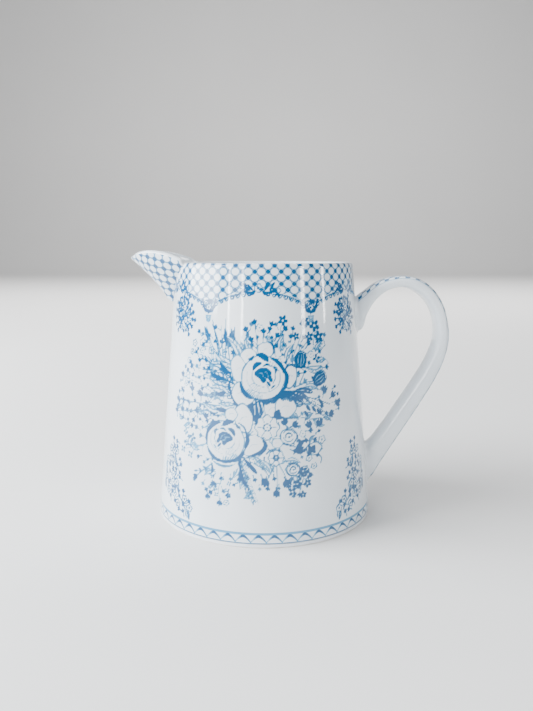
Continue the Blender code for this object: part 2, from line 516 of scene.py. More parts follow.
@dataclass(frozen=True)
class WallPrint:
    """The body's print: trellis above, floral plate between, arched band below."""

    dots_round: int = 48
    row: float = 2.1 * MM
    first_row: float = 99.2 * MM
    swags: int = 6
    pendant_angle: float = math.radians(27.0)
    pendant_height: float = 83.6 * MM
    arch_rise: float = 6.8 * MM
    dot_shift: float = 0.2
    band_shift: float = 0.35

    def edge_height(self, angle: float) -> float:
        """The trellis's scalloped lower edge."""
        swing = abs(math.sin(self.swags / 2 * (angle - self.pendant_angle)))
        return self.pendant_height + self.arch_rise * swing**0.6

    def trellis(self, graph: Graph, angle: Socket, height: Socket) -> Socket:
        """The net on the wall, cut along its scallops.

        Args:
            graph: the material.
            angle: the angle round the wall.
            height: the height up it.

        Returns:
            The ink.
        """
        column = graph.math("MULTIPLY_ADD", angle, self.dots_round / math.tau, self.dot_shift)
        fall = graph.math("SUBTRACT", self.first_row, height)
        half_row = graph.math("MULTIPLY", fall, 0.5 / self.row)
        ink = Lattice().ink(
            graph, graph.math("ADD", column, half_row), graph.math("SUBTRACT", column, half_row)
        )
        turn = graph.math("MULTIPLY_ADD", angle, self.swags / 2, -self.swags / 2 * self.pendant_angle)
        swing = graph.math("POWER", graph.math("ABSOLUTE", graph.math("SINE", turn)), 0.6)
        edge = graph.math("MULTIPLY_ADD", swing, self.arch_rise, self.pendant_height)
        above = graph.rise(graph.math("SUBTRACT", height, edge), 0.0, 0.5 * MM)
        below_rim = graph.rise(height, 99.95 * MM, 99.8 * MM)
        return graph.math("MULTIPLY", ink, graph.math("MULTIPLY", above, below_rim))

    def band(self, graph: Graph, angle: Socket, height: Socket) -> Socket:
        """The base band: two lines with a row of arches between them.

        Args:
            graph: the material.
            angle: the angle round the wall.
            height: the height up it.

        Returns:
            The ink.
        """
        top = self.line(graph, height, 5.15 * MM, 0.46 * MM, 0.46)
        foot = self.line(graph, height, 1.75 * MM, 0.17 * MM, 0.8)
        column = graph.math("MULTIPLY_ADD", angle, self.dots_round / math.tau, self.band_shift)
        off = graph.math("MULTIPLY", graph.math("PINGPONG", column, 0.5), 2.0)
        curve = graph.math("MULTIPLY_ADD", graph.math("POWER", off, 1.55), -2.3 * MM, 4.4 * MM)
        gap = graph.math("ABSOLUTE", graph.math("SUBTRACT", height, curve))
        weight = graph.math("MULTIPLY_ADD", off, -0.22 * MM, 0.56 * MM)
        arch = graph.rise(graph.math("SUBTRACT", gap, weight), 0.16 * MM, -0.14 * MM)
        after = graph.rise(graph.math("FRACT", column), 0.6, 0.4)
        fade = graph.math("MULTIPLY_ADD", after, 0.4, -0.66)
        tone = graph.math("MULTIPLY_ADD", graph.math("MULTIPLY", graph.rise(off, 0.1, 0.75), fade), 1.0, 0.95)
        return graph.most(top, foot, graph.math("MULTIPLY", arch, tone))

    @staticmethod
    def line(graph: Graph, height: Socket, at: float, half: float, tone: float) -> Socket:
        """One painted line round the wall."""
        off = graph.math("ABSOLUTE", graph.math("SUBTRACT", height, at))
        return graph.math("MULTIPLY", graph.rise(off, half + 0.1 * MM, half - 0.1 * MM), tone)

    def material(self) -> bpy.types.Material:
        """The body's glaze, with its whole print."""
        graph = Graph("printed_wall")
        axes = graph.node("SeparateXYZ")
        graph.feed(axes.inputs[0], graph.node("TexCoord").outputs["Object"])
        x, y, z = axes.outputs
        across = graph.math("SUBTRACT", x, WALL.axis_x)
        angle = graph.math("ARCTAN2", across, graph.math("MULTIPLY", y, -1.0))
        distance = graph.math("SQRT",
            graph.math("MULTIPLY_ADD", y, y, graph.math("MULTIPLY", across, across)))
        depth = graph.math("SUBTRACT", graph.math("MULTIPLY_ADD", z, -WALL.taper, WALL.base_radius), distance)
        outside = graph.rise(depth, 0.9 * MM, 0.75 * MM)
        plate = graph.node("Attribute", attribute_name=PLATE_INK)
        floral = graph.rise(plate.outputs["Fac"], 0.03, 0.8)
        ink = graph.most(self.trellis(graph, angle, z), self.band(graph, angle, z), floral)
        shown = graph.math("MULTIPLY", outside, self.clear_of_beak(graph, across, y, z))
        return Glaze().dress(graph, graph.math("MULTIPLY", ink, shown))

    @staticmethod
    def clear_of_beak(graph: Graph, across: Socket, sideways: Socket, height: Socket) -> Socket:
        """Where the wall is not covered by the beak, so that no print shows inside it."""
        skin = Beak().outer
        climb = graph.math("POWER", graph.rise(height, skin.apex, WALL.rim_height), skin.spread)
        half = graph.math("MULTIPLY", climb, skin.half_width)
        beside = graph.rise(graph.math("SUBTRACT", graph.math("ABSOLUTE", sideways), half), -0.6 * MM,
            -0.3 * MM)
        return graph.math("MAXIMUM", beside, graph.rise(across, 0.0, 1 * MM))


PLATE_INK = "plate_ink"
NET_PLACE = "net_place"


class NetTurn(Enum):
    """How a piece's net lies on its print coordinates."""

    SQUARE = "rows follow the lip"
    SLANTED = "rows run along the strap"


@dataclass(frozen=True)
class NetPrint:
    """The trellis on the beak or the handle, placed by an attribute of (along, down, cover)."""

    name: str
    turn: NetTurn
    pitch: float
    row: float
    edge_line: float = 0.0

    def material(self) -> bpy.types.Material:
        """The piece's glaze with its net."""
        graph = Graph(self.name)
        axes = graph.node("SeparateXYZ")
        graph.feed(axes.inputs[0], graph.node("Attribute", attribute_name=NET_PLACE).outputs["Vector"])
        along, down, cover = axes.outputs
        column = graph.math("DIVIDE", along, self.pitch)
        row = graph.math("DIVIDE", down, self.row)
        if self.turn is NetTurn.SLANTED:
            half = graph.math("MULTIPLY", row, 0.5)
            column, row = graph.math("ADD", column, half), graph.math("SUBTRACT", column, half)
        ink = Lattice(dot=0.92 * MM).ink(graph, column, row)
        shown = graph.rise(cover, 0.4, 0.6)
        if self.edge_line:
            off = graph.math("ABSOLUTE", down)
            shown = graph.math("MULTIPLY", shown, graph.rise(off, self.edge_line, self.edge_line - 0.3 * MM))
            line = WallPrint.line(graph, off, self.edge_line + 0.2 * MM, 0.12 * MM, 0.6)
            ink = graph.most(graph.math("MULTIPLY", ink, shown),
                graph.math("MULTIPLY", line, graph.rise(cover, 0.4, 0.6)))
        else:
            ink = graph.math("MULTIPLY", ink, shown)
        return Glaze().dress(graph, ink)


def plain_glaze(name: str) -> bpy.types.Material:
    """White glaze without print."""
    return Glaze().dress(Graph(name), 0.0)


# ---------------------------------------------------------------- pieces


def keep_place(piece: bpy.types.Object, name: str, values: np.ndarray) -> None:
    """Stores a point attribute on a piece.

    Args:
        piece: the mesh.
        name: the attribute's name.
        values: one number or one triple for each vertex.
    """
    kind, key = ("FLOAT", "value") if values.ndim == 1 else ("FLOAT_VECTOR", "vector")
    held = piece.data.attributes.new(name, kind, "POINT")
    held.data.foreach_set(key, values.astype(np.float32).ravel())


def points_of(piece: bpy.types.Object) -> np.ndarray:
    """The vertices of a mesh, as a (count, 3) array."""
    raw = np.empty(len(piece.data.vertices) * 3, np.float32)
    piece.data.vertices.foreach_get("co", raw)
    return raw.reshape(-1, 3).astype(float)


def put(piece: bpy.types.Object, finish: bpy.types.Material, slot: str, *nodes: str) -> bpy.types.Object:
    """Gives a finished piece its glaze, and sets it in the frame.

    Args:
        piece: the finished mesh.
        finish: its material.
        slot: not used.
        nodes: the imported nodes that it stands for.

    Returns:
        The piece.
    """
    piece.data.materials.clear()
    piece.data.materials.append(finish)
    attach(piece, ROOT)
    if nodes:
        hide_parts(*nodes)
    LOG.info("%s: %d faces", piece.name, len(piece.data.polygons))
    return piece


def smooth(piece: bpy.types.Object, degrees: float = 50.0) -> None:
    """Shades a piece smooth, and leaves edges sharper than an angle."""
    activate(piece)
    bpy.ops.object.shade_smooth_by_angle(angle=math.radians(degrees))


@dataclass(frozen=True)
class BeakSkin:
    """One skin of the beak: level rings that open from an apex on the wall up to the lip."""

    inset: float
    apex: float
    tip: float
    half_width: float
    tip_height: float = 101.9 * MM
    spread: float = 1.2
    bluntness: float = 1.8
    heel: float = 1.7 * MM
    hollow: float = 0.7 * MM

    def half(self, height: np.ndarray) -> np.ndarray:
        """Half the width of the ring at each height."""
        climb = np.clip((height - self.apex) / (WALL.rim_height - self.apex), 0, 1)
        return self.half_width * climb**self.spread

    def plan(self, share: np.ndarray, height: np.ndarray) -> tuple[np.ndarray, np.ndarray]:
        """A point of the skin, seen from above.

        Args:
            share: place on the ring, -1 at its near root to 1 at its far root.
            height: the height.

        Returns:
            The distance from the axis, along the beak, and the distance sideways.
        """
        half = self.half(height)
        low_keel = WALL.radius(self.apex) - self.inset
        climb = np.clip((height - self.apex) / (self.tip_height - self.apex), 0, 1)
        swell = self.heel * np.minimum(climb / 0.06,
            1) * (1 - climb) ** 4 - self.hollow * np.sin(math.pi * climb)
        keel = low_keel + (self.tip - low_keel) * (height - self.apex) / (self.tip_height - self.apex) + swell
        merge = 0.9 * MM * np.clip((height - 97.5 * MM) / (2.5 * MM), 0, 1)
        standing = np.minimum(height, WALL.rim_height)
        wall = WALL.radius(standing) - self.inset - (merge if self.inset == 0 else 0)
        root = np.sqrt(np.maximum(wall**2 - half**2, 0))
        return keel - (keel - root) * np.abs(share) ** self.bluntness, share * half


@dataclass(frozen=True)
class Beak:
    """The pouring beak: a thin lofted shell with a round lip, stuck over a notch in the rim."""

    outer: BeakSkin = BeakSkin(inset=0.0, apex=84.0 * MM, tip=53.1 * MM, half_width=19.9 * MM)
    inner: BeakSkin = BeakSkin(inset=2.77 * MM, apex=85.4 * MM, tip=50.7 * MM, half_width=17.7 * MM)
    cut: BeakSkin = BeakSkin(inset=3.9 * MM, apex=84.9 * MM, tip=51.7 * MM, half_width=19.2 * MM)
    mouth: float = 28.4 * MM
    lip_round: float = 1.25 * MM
    columns: int = 72
    rows: int = 22
    lip_steps: int = 8
    lip_line: tuple[Point2, ...] = ((0, 0.1), (0.19, 2.1), (0.40, 3.65), (0.63, 4.42), (0.85, 4.0), (1, 2.65))
    lean: float = -0.12 * MM
    net_fall: float = 0.31
    net_shift: float = 0.46 * MM

    def lip_height(self, share: np.ndarray) -> np.ndarray:
        """The height of the lip's crest over each share, from a curve along the beak's length."""
        curve = smooth_line(self.lip_line, 8)
        height = np.full_like(share, WALL.rim_height)
        for _ in range(4):
            distance, _ = self.outer.plan(share, height)
            along = np.clip((distance - self.mouth) / (self.outer.tip - self.mouth), 0, 1)
            tilt = np.sign(share) * np.sin(math.pi * along) * self.lean
            height = WALL.rim_height + np.interp(along, curve[:, 0], curve[:, 1]) * MM + tilt
        return height

    def column(self, skin: BeakSkin, share: float, top: float) -> np.ndarray:
        """One upright line of a skin, from its apex to a height.

        Args:
            skin: the skin.
            share: the line's place on the rings.
            top: its upper end.

        Returns:
            Its points in the frame.
        """
        bottom = skin.apex + 0.4 * MM
        height = bottom + (top - bottom) * np.linspace(0, 1, self.rows) ** 0.9
        distance, sideways = skin.plan(np.full(self.rows, share), height)
        return np.column_stack([WALL.axis_x - distance, sideways, height])

    def section(self, share: float, crest: float) -> np.ndarray:
        """A closed section: up the outer skin, over the lip and down the inner skin."""
        top = crest - self.lip_round
        outside, inside = self.column(self.outer, share, top), self.column(self.inner, share, top)
        middle, reach = (outside[-1] + inside[-1]) / 2, (outside[-1] - inside[-1]) / 2
        turn = np.linspace(0, math.pi, self.lip_steps + 1)[1:-1, None]
        crown = middle + reach * np.cos(turn) + np.array([0, 0, self.lip_round]) * np.sin(turn)
        return np.vstack([outside, crown, inside[::-1]])

    def shares(self) -> np.ndarray:
        """Places of the sections, closer near the roots."""
        even = np.linspace(-1, 1, self.columns + 1)
        return np.sin(even * math.pi / 2) * 0.35 + even * 0.65

    def net_places(self, sections: list[np.ndarray]) -> np.ndarray:
        """The print coordinates of every section's points: along the beak, down its fall, and cover."""
        places = np.array(sections)
        rings = places[:, :, :2] - np.array([WALL.axis_x, 0])
        steps = np.linalg.norm(np.diff(rings, axis=0), axis=2)
        run = np.vstack([np.zeros(rings.shape[1]), np.cumsum(steps, axis=0)])
        middle = len(sections) // 2
        reach = rings[-1, :, 0] - rings[middle, :, 0]
        ratio = np.maximum(reach, 0.2 * MM) / (run[-1] - run[middle])
        across = rings[middle, :, 0] + np.abs(run - run[middle]) * ratio
        places[:, :, 1] = places[:, :, 2] + self.net_fall * across + self.net_shift
        places[:, :, 0] = across
        places[:, :, 2] = np.arange(places.shape[1]) < self.rows
        return places

    def build(self) -> bpy.types.Object:
        """Lofts the beak and dresses it."""
        shares = self.shares()
        crests = self.lip_height(shares)
        sections = [self.section(share, crest) for share, crest in zip(shares, crests)]
        piece = loft("beak", sections, self.net_places(sections))
        smooth(piece, 60)
        finish = NetPrint("printed_beak", NetTurn.SQUARE, 2.6 * MM, 2.8 * MM).material()
        return put(piece, finish, "glazed_spout", "spout", "spout_seam")

    def notch(self) -> bpy.types.Object:
        """The cutter that opens the wall behind the beak."""
        rings = []
        shares = np.linspace(-1, 1, 33)
        for height in np.linspace(self.cut.apex + 0.6 * MM, 110 * MM, 24):
            distance, sideways = self.cut.plan(shares, np.full_like(shares, height))
            half = max(abs(sideways))
            back = WALL.inner_radius(WALL.rim_height) - 12 * MM
            ends = np.array([[WALL.axis_x - back, half, height], [WALL.axis_x - back, -half, height]])
            line = np.column_stack([WALL.axis_x - distance, sideways, np.full_like(shares, height)])
            rings.append(np.vstack([line, ends]))
        return loft("notch", rings)


@dataclass(frozen=True)
class Body:
    """The thrown wall with its floor and round rim, notched for the beak."""

    floor_top: float = 6.2 * MM
    floor_fillet: float = 5.0 * MM
    underside: float = 2.6 * MM
    foot_inner: float = 38.2 * MM
    bottom: float = 1.25 * MM
    wall_rows: int = 40
    around: int = 114
    plate_cuts: int = 5

    def profile(self) -> list[Point2]:
        """The wall and floor's section, from the floor's middle over the rim to the underside's."""
        rim = WALL.thickness / 2
        crest = WALL.rim_height - rim
        inner = [(WALL.inner_radius(z), z) for z in np.linspace(14 * MM, crest, 12)]
        corner = WALL.inner_radius(self.floor_top + self.floor_fillet) - self.floor_fillet
        fillet = arc((corner, self.floor_top + self.floor_fillet), self.floor_fillet, -90, 0, 6)
        floor = [(share * corner, self.floor_top) for share in (0, 0.2, 0.4, 0.6, 0.8)]
        lip = arc((WALL.radius(crest) - rim, crest), rim, 180, 0, 10)[1:-1]
        wall = [(WALL.radius(z), z) for z in np.linspace(crest, 1.6 * MM, self.wall_rows + 1)]
        under = [(WALL.radius(self.bottom) - 0.6 * MM, self.bottom), (self.foot_inner, self.bottom)]
        recess = [(self.foot_inner - 0.6 * MM, self.underside)]
        recess += [(share * self.foot_inner, self.underside) for share in (0.75, 0.5, 0.25, 0)]
        return [*floor, *fillet, *inner, *lip, *wall, *under, *recess]

    def build(self, beak: Beak, plate: "Plate") -> bpy.types.Object:
        """Throws the body, cuts its notch, and lays the plate's ink on the wall."""
        piece = turned("thrown_body", self.profile(), WALL.axis_x, self.around)
        cutter = beak.notch()
        cut = piece.modifiers.new("notch", "BOOLEAN")
        cut.operation, cut.solver, cut.object = "DIFFERENCE", "EXACT", cutter
        apply_modifiers(piece)
        bpy.data.objects.remove(cutter, do_unlink=True)
        self.refine(piece, plate)
        keep_place(piece, PLATE_INK, self.inked(points_of(piece), plate))
        self.true_normals(piece)
        return put(piece, WallPrint().material(), "glazed_body", "body")

    def refine(self, piece: bpy.types.Object, plate: "Plate") -> None:
        """Splits the wall's cells that hold ink, and sets their new points on the true cone."""
        points = points_of(piece)
        angle, height, outside = self.unroll(points)
        mesh = piece.data
        mesh.polygons.foreach_set("select", [False] * len(mesh.polygons))
        mesh.edges.foreach_set("select", [False] * len(mesh.edges))
        mesh.vertices.foreach_set("select", [False] * len(mesh.vertices))
        for face in mesh.polygons:
            corners = list(face.vertices)
            if len(corners) != 4 or not outside[corners].all():
                continue
            around, up = angle[corners], height[corners]
            if around.max() - around.min() > math.pi:
                around = np.where(around < 0, around + math.tau, around)
            face.select = plate.holds_ink(around.min(), around.max(), up.min(), up.max())
        activate(piece)
        bpy.ops.object.mode_set(mode="EDIT")
        bpy.ops.mesh.select_mode(type="FACE")
        bpy.ops.mesh.subdivide(number_cuts=self.plate_cuts, quadcorner="INNERVERT", ngon=True)
        bpy.ops.object.mode_set(mode="OBJECT")
        points = points_of(piece)
        angle, height, outside = self.unroll(points, 0.05 * MM)
        radius = np.array([WALL.radius(z) for z in height])
        points[outside, 0] = WALL.axis_x + (radius * np.sin(angle))[outside]
        points[outside, 1] = -(radius * np.cos(angle))[outside]
        mesh.vertices.foreach_set("co", points.astype(np.float32).ravel())

    @staticmethod
    def unroll(points: np.ndarray, slack: float = 0.003 * MM) -> tuple[np.ndarray, np.ndarray, np.ndarray]:
        """The wall coordinates of points.

        Args:
            points: places in the frame.
            slack: how far off the wall still counts.

        Returns:
            Angles from the front, heights, and which points lie on the outside wall.
        """
        across, back, height = points[:, 0] - WALL.axis_x, points[:, 1], points[:, 2]
        angle = np.arctan2(across, -back)
        off = np.abs(np.hypot(across, back) - (WALL.base_radius - WALL.taper * height))
        standing = (height > 1.5 * MM) & (height < WALL.rim_height - 1.3 * MM)
        return angle, height, (off < slack) & standing

    def inked(self, points: np.ndarray, plate: "Plate") -> np.ndarray:
        """The plate's ink at each point."""
        angle, height, outside = self.unroll(points)
        return np.where(outside, plate.read(angle, height), 0.0)

    def true_normals(self, piece: bpy.types.Object) -> None:
        """Shades the outside wall as the cone that it is, whatever its cells."""
        smooth(piece, 50)
        mesh = piece.data
        points = points_of(piece)
        angle, _, outside = self.unroll(points)
        corners = np.empty(len(mesh.loops), np.int32)
        mesh.loops.foreach_get("vertex_index", corners)
        held = np.empty(len(mesh.loops) * 3, np.float32)
        mesh.corner_normals.foreach_get("vector", held)
        normals = held.reshape(-1, 3)
        slope = math.hypot(1, WALL.taper)
        cone = np.column_stack([np.sin(angle), -np.cos(angle), np.full_like(angle, WALL.taper)]) / slope
        outward = (normals * cone[corners]).sum(axis=1) > 0.75
        taken = outside[corners] & outward
        normals[taken] = cone[corners][taken]
        mesh.normals_split_custom_set(normals.tolist())


@dataclass(frozen=True)
class Foot:
    """The standing ring under the wall, ground flat and left bare below."""

    inner: float = 38.5 * MM
    top: float = 1.5 * MM
    edge: float = 0.45 * MM
    around: int = 128

    def profile(self) -> list[Point2]:
        """The ring's section, open at the top where it runs into the wall."""
        outer = WALL.radius(0) - 0.12 * MM
        outside = arc((outer - self.edge, self.edge), self.edge, 0, -90, 5)
        inside = arc((self.inner + self.edge, self.edge), self.edge, -90, -180, 4)
        tops = [(self.inner, self.top), (outer - 1.2 * MM, self.top),
            (outer - 0.02 * MM, self.top - 0.2 * MM)]
        return [tops[2], *outside, *inside, *tops]

    def build(self) -> bpy.types.Object:
        """Turns the ring and dresses it."""
        piece = turned("standing_foot", self.profile(), WALL.axis_x, self.around)
        smooth(piece, 40)
        return put(piece, foot_finish(), "bare_foot", "foot_ring")


def foot_finish() -> bpy.types.Material:
    """White glaze that ends at a dry, slightly sandy ground edge."""
    graph = Graph("ground_foot")
    place = graph.node("TexCoord").outputs["Object"]
    axes = graph.node("SeparateXYZ")
    graph.feed(axes.inputs[0], place)
    dry = graph.rise(axes.outputs[2], 0.35 * MM, 0.15 * MM)
    grit = graph.noise(place, 0.5 * MM, 4.0)
    bare = graph.mix(grit, (0.66, 0.64, 0.60), (0.78, 0.765, 0.73))
    graph.feed(graph.shader.inputs["Base Color"], graph.mix(dry, (0.76, 0.79, 0.83), bare))
    graph.feed(graph.shader.inputs["Roughness"], graph.math("MULTIPLY_ADD", dry, 0.55, 0.12))
    bump = graph.node("Bump")
    bump.inputs["Distance"].default_value = 0.02 * MM
    graph.feed(bump.inputs["Height"], graph.math("MULTIPLY", grit, dry))
    graph.feed(graph.shader.inputs["Normal"], bump.outputs["Normal"])
    return graph.material


@dataclass(frozen=True)
class Strap:
    """The strap handle: soft-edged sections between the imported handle's two edges, flared at both joints."""

    node: str = "handle"
    half_width: float = 5.5 * MM
    squareness: float = 3.0
    around: int = 40
    stations: int = 113
    level: float = 0.02
    first_bearing: float = -0.6 * math.pi
    joint_face: float = 0.2 * MM
    root_depth: float = 1.6 * MM
    outer_roots: Point2 = (84.4 * MM, 9.6 * MM)
    inner_roots: Point2 = (71.9 * MM, 25.0 * MM)

    @staticmethod
    def off_wall(points: np.ndarray) -> np.ndarray:
        """How far points stand off the wall."""
        return np.hypot(points[:, 0] - WALL.axis_x,
            points[:, 1]) - WALL.base_radius + WALL.taper * points[:, 2]

    def edge(self, outward: bool, roots: Point2) -> np.ndarray:
        """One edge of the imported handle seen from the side, run on into the wall at both ends.

        Args:
            outward: whether it is the edge that faces away from the loop's middle.
            roots: the heights at which it ends inside the wall, upper then lower.

        Returns:
            Points at equal distances, as (distance from the jug's axis, height).
        """
        mesh = bpy.data.objects[self.node].data
        low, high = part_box(self.node)
        middle = Vector(((low[0] + high[0]) / 2, 0.0, (low[2] + high[2]) / 2))
        corners = np.array([vertex.co for vertex in mesh.vertices])
        points = np.concatenate([
            corners[list(face.vertices)] for face in mesh.polygons
            if abs(face.normal.y) < self.level and (face.normal.dot(face.center - middle) > 0) == outward
        ])
        clear = self.off_wall(points) > self.off_wall(corners).min() + self.joint_face
        points = np.unique(points[clear][:, [0, 2]].round(6), axis=0)
        bearing = np.arctan2(points[:, 0] - middle.x, points[:, 1] - middle.z)
        bearing = np.where(bearing < self.first_bearing, bearing + math.tau, bearing)
        points = points[np.argsort(bearing)] - [WALL.axis_x, 0.0]
        ends = [(WALL.base_radius - WALL.taper * height - self.root_depth, height) for height in roots]
        line = np.array([ends[0], *points, ends[1]])
        run = np.concatenate([[0], np.cumsum(np.linalg.norm(np.diff(line, axis=0), axis=1))])
        stops = np.linspace(0, run[-1], self.stations)
        return np.column_stack([np.interp(stops, run, line[:, 0]), np.interp(stops, run, line[:, 1])])

    def sections(self) -> tuple[list[np.ndarray], np.ndarray]:
        """The handle's sections, and their print coordinates."""
        outer, inner = self.edge(True, self.outer_roots), self.edge(False, self.inner_roots)
        turn = np.linspace(0, math.tau, self.around, endpoint=False)
        deep = np.sign(np.cos(turn)) * np.abs(np.cos(turn)) ** (2 / self.squareness)
        wide = np.sign(np.sin(turn)) * np.abs(np.sin(turn)) ** (2 / self.squareness)
        along = np.concatenate([[0], np.cumsum(np.linalg.norm(np.diff(outer, axis=0), axis=1))])
        rings, places = [], []
        for high, low, length in zip(outer, inner, along):
            centre, half = (high + low) / 2, (high - low) / 2
            flat = centre + half * deep[:, None]
            ring = np.column_stack([WALL.axis_x + flat[:, 0], wide * self.half_width, flat[:, 1]])
            thickness = np.linalg.norm(half)
            girth = np.hypot(np.diff(deep, append=deep[:1]) * thickness,
                np.diff(wide, append=wide[:1]) * self.half_width)
            across = np.concatenate([[0], np.cumsum(girth)[:-1]])
            across = np.where(across > girth.sum() / 2, across - girth.sum(), across)
            rings.append(ring)
            places.append(np.column_stack([np.full(self.around, length), across, (deep > -0.15) * 1.0]))
        return rings, np.stack(places)

    def build(self) -> bpy.types.Object:
        """Lofts the handle and dresses it."""
        rings, places = self.sections()
        piece = loft("strap_handle", rings, places)
        smooth(piece, 60)
        net = NetPrint("printed_handle", NetTurn.SLANTED, 4.25 * MM, 2.1 * MM, 5.0 * MM)
        return put(piece, net.material(), "glazed_handle", "handle")

    def joint(self, name: str, node: str, at_start: bool, size: float) -> bpy.types.Object:
        """The fillet of slip where one end of the handle meets the wall.

        Args:
            name: the piece's name.
            node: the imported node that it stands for.
            at_start: whether it is the upper end.
            size: the fillet's radius.

        Returns:
            The fillet.
        """
        rings, _ = self.sections()
        stack = np.stack(rings if at_start else rings[::-1])
        tracks = stack.transpose(1, 0, 2)
        collar = []
        for depth in (-0.9 * MM, -0.05 * MM, *(size * np.array([0.0, 0.08, 0.2, 0.38, 0.62, 1.0])),
            size * 1.6):
            ring = np.array([self.cross(track, depth) for track in tracks])
            share = min(max(depth / size, 0.0), 1.0)
            flare = size * (1 - math.sqrt(1 - (1 - share) ** 2)) if depth <= size else -0.35 * MM
            flare = size * 1.05 if depth < 0 else flare
            middle = ring.mean(axis=0)
            out = ring - middle
            lengths = np.linalg.norm(out, axis=1, keepdims=True)
            collar.append(ring + out / lengths * (flare - 0.03 * MM))
        piece = loft(name, collar)
        smooth(piece, 60)
        return put(piece, plain_glaze(name), "slip_seam", node)

    @staticmethod
    def cross(track: np.ndarray, depth: float) -> np.ndarray:
        """Where a line along the handle stands a depth off the wall."""
        off = Strap.off_wall(track) - depth
        after = int(np.argmax(off > 0))
        if after == 0:
            return track[0]
        share = -off[after - 1] / (off[after] - off[after - 1])
        return track[after - 1] + share * (track[after] - track[after - 1])


# ---------------------------------------------------------------- the floral plate


@dataclass(frozen=True)
class Spot:
    """Where a motif stands on the sheet: a centre, a size and a turn, and whether it is flipped."""

    x: float
    z: float
    size: float = 1.0
    turn: float = 0.0
    flip: bool = False

    def at(self, across: float, up: float) -> Point2:
        """A point of the motif on the sheet."""
        across = -across if self.flip else across
        angle = math.radians(self.turn)
        return (
            self.x + self.size * (across * math.cos(angle) - up * math.sin(angle)),
            self.z + self.size * (across * math.sin(angle) + up * math.cos(angle)),
        )

    def many(self, points: Iterable[Point2]) -> list[Point2]:
        """Several points of the motif."""
        return [self.at(*point) for point in points]


class Swell(Enum):
    """How a cut line's width changes along it."""

    EVEN = "even"
    TAPER = "thick to thin"
    CRESCENT = "thin, thick, thin"


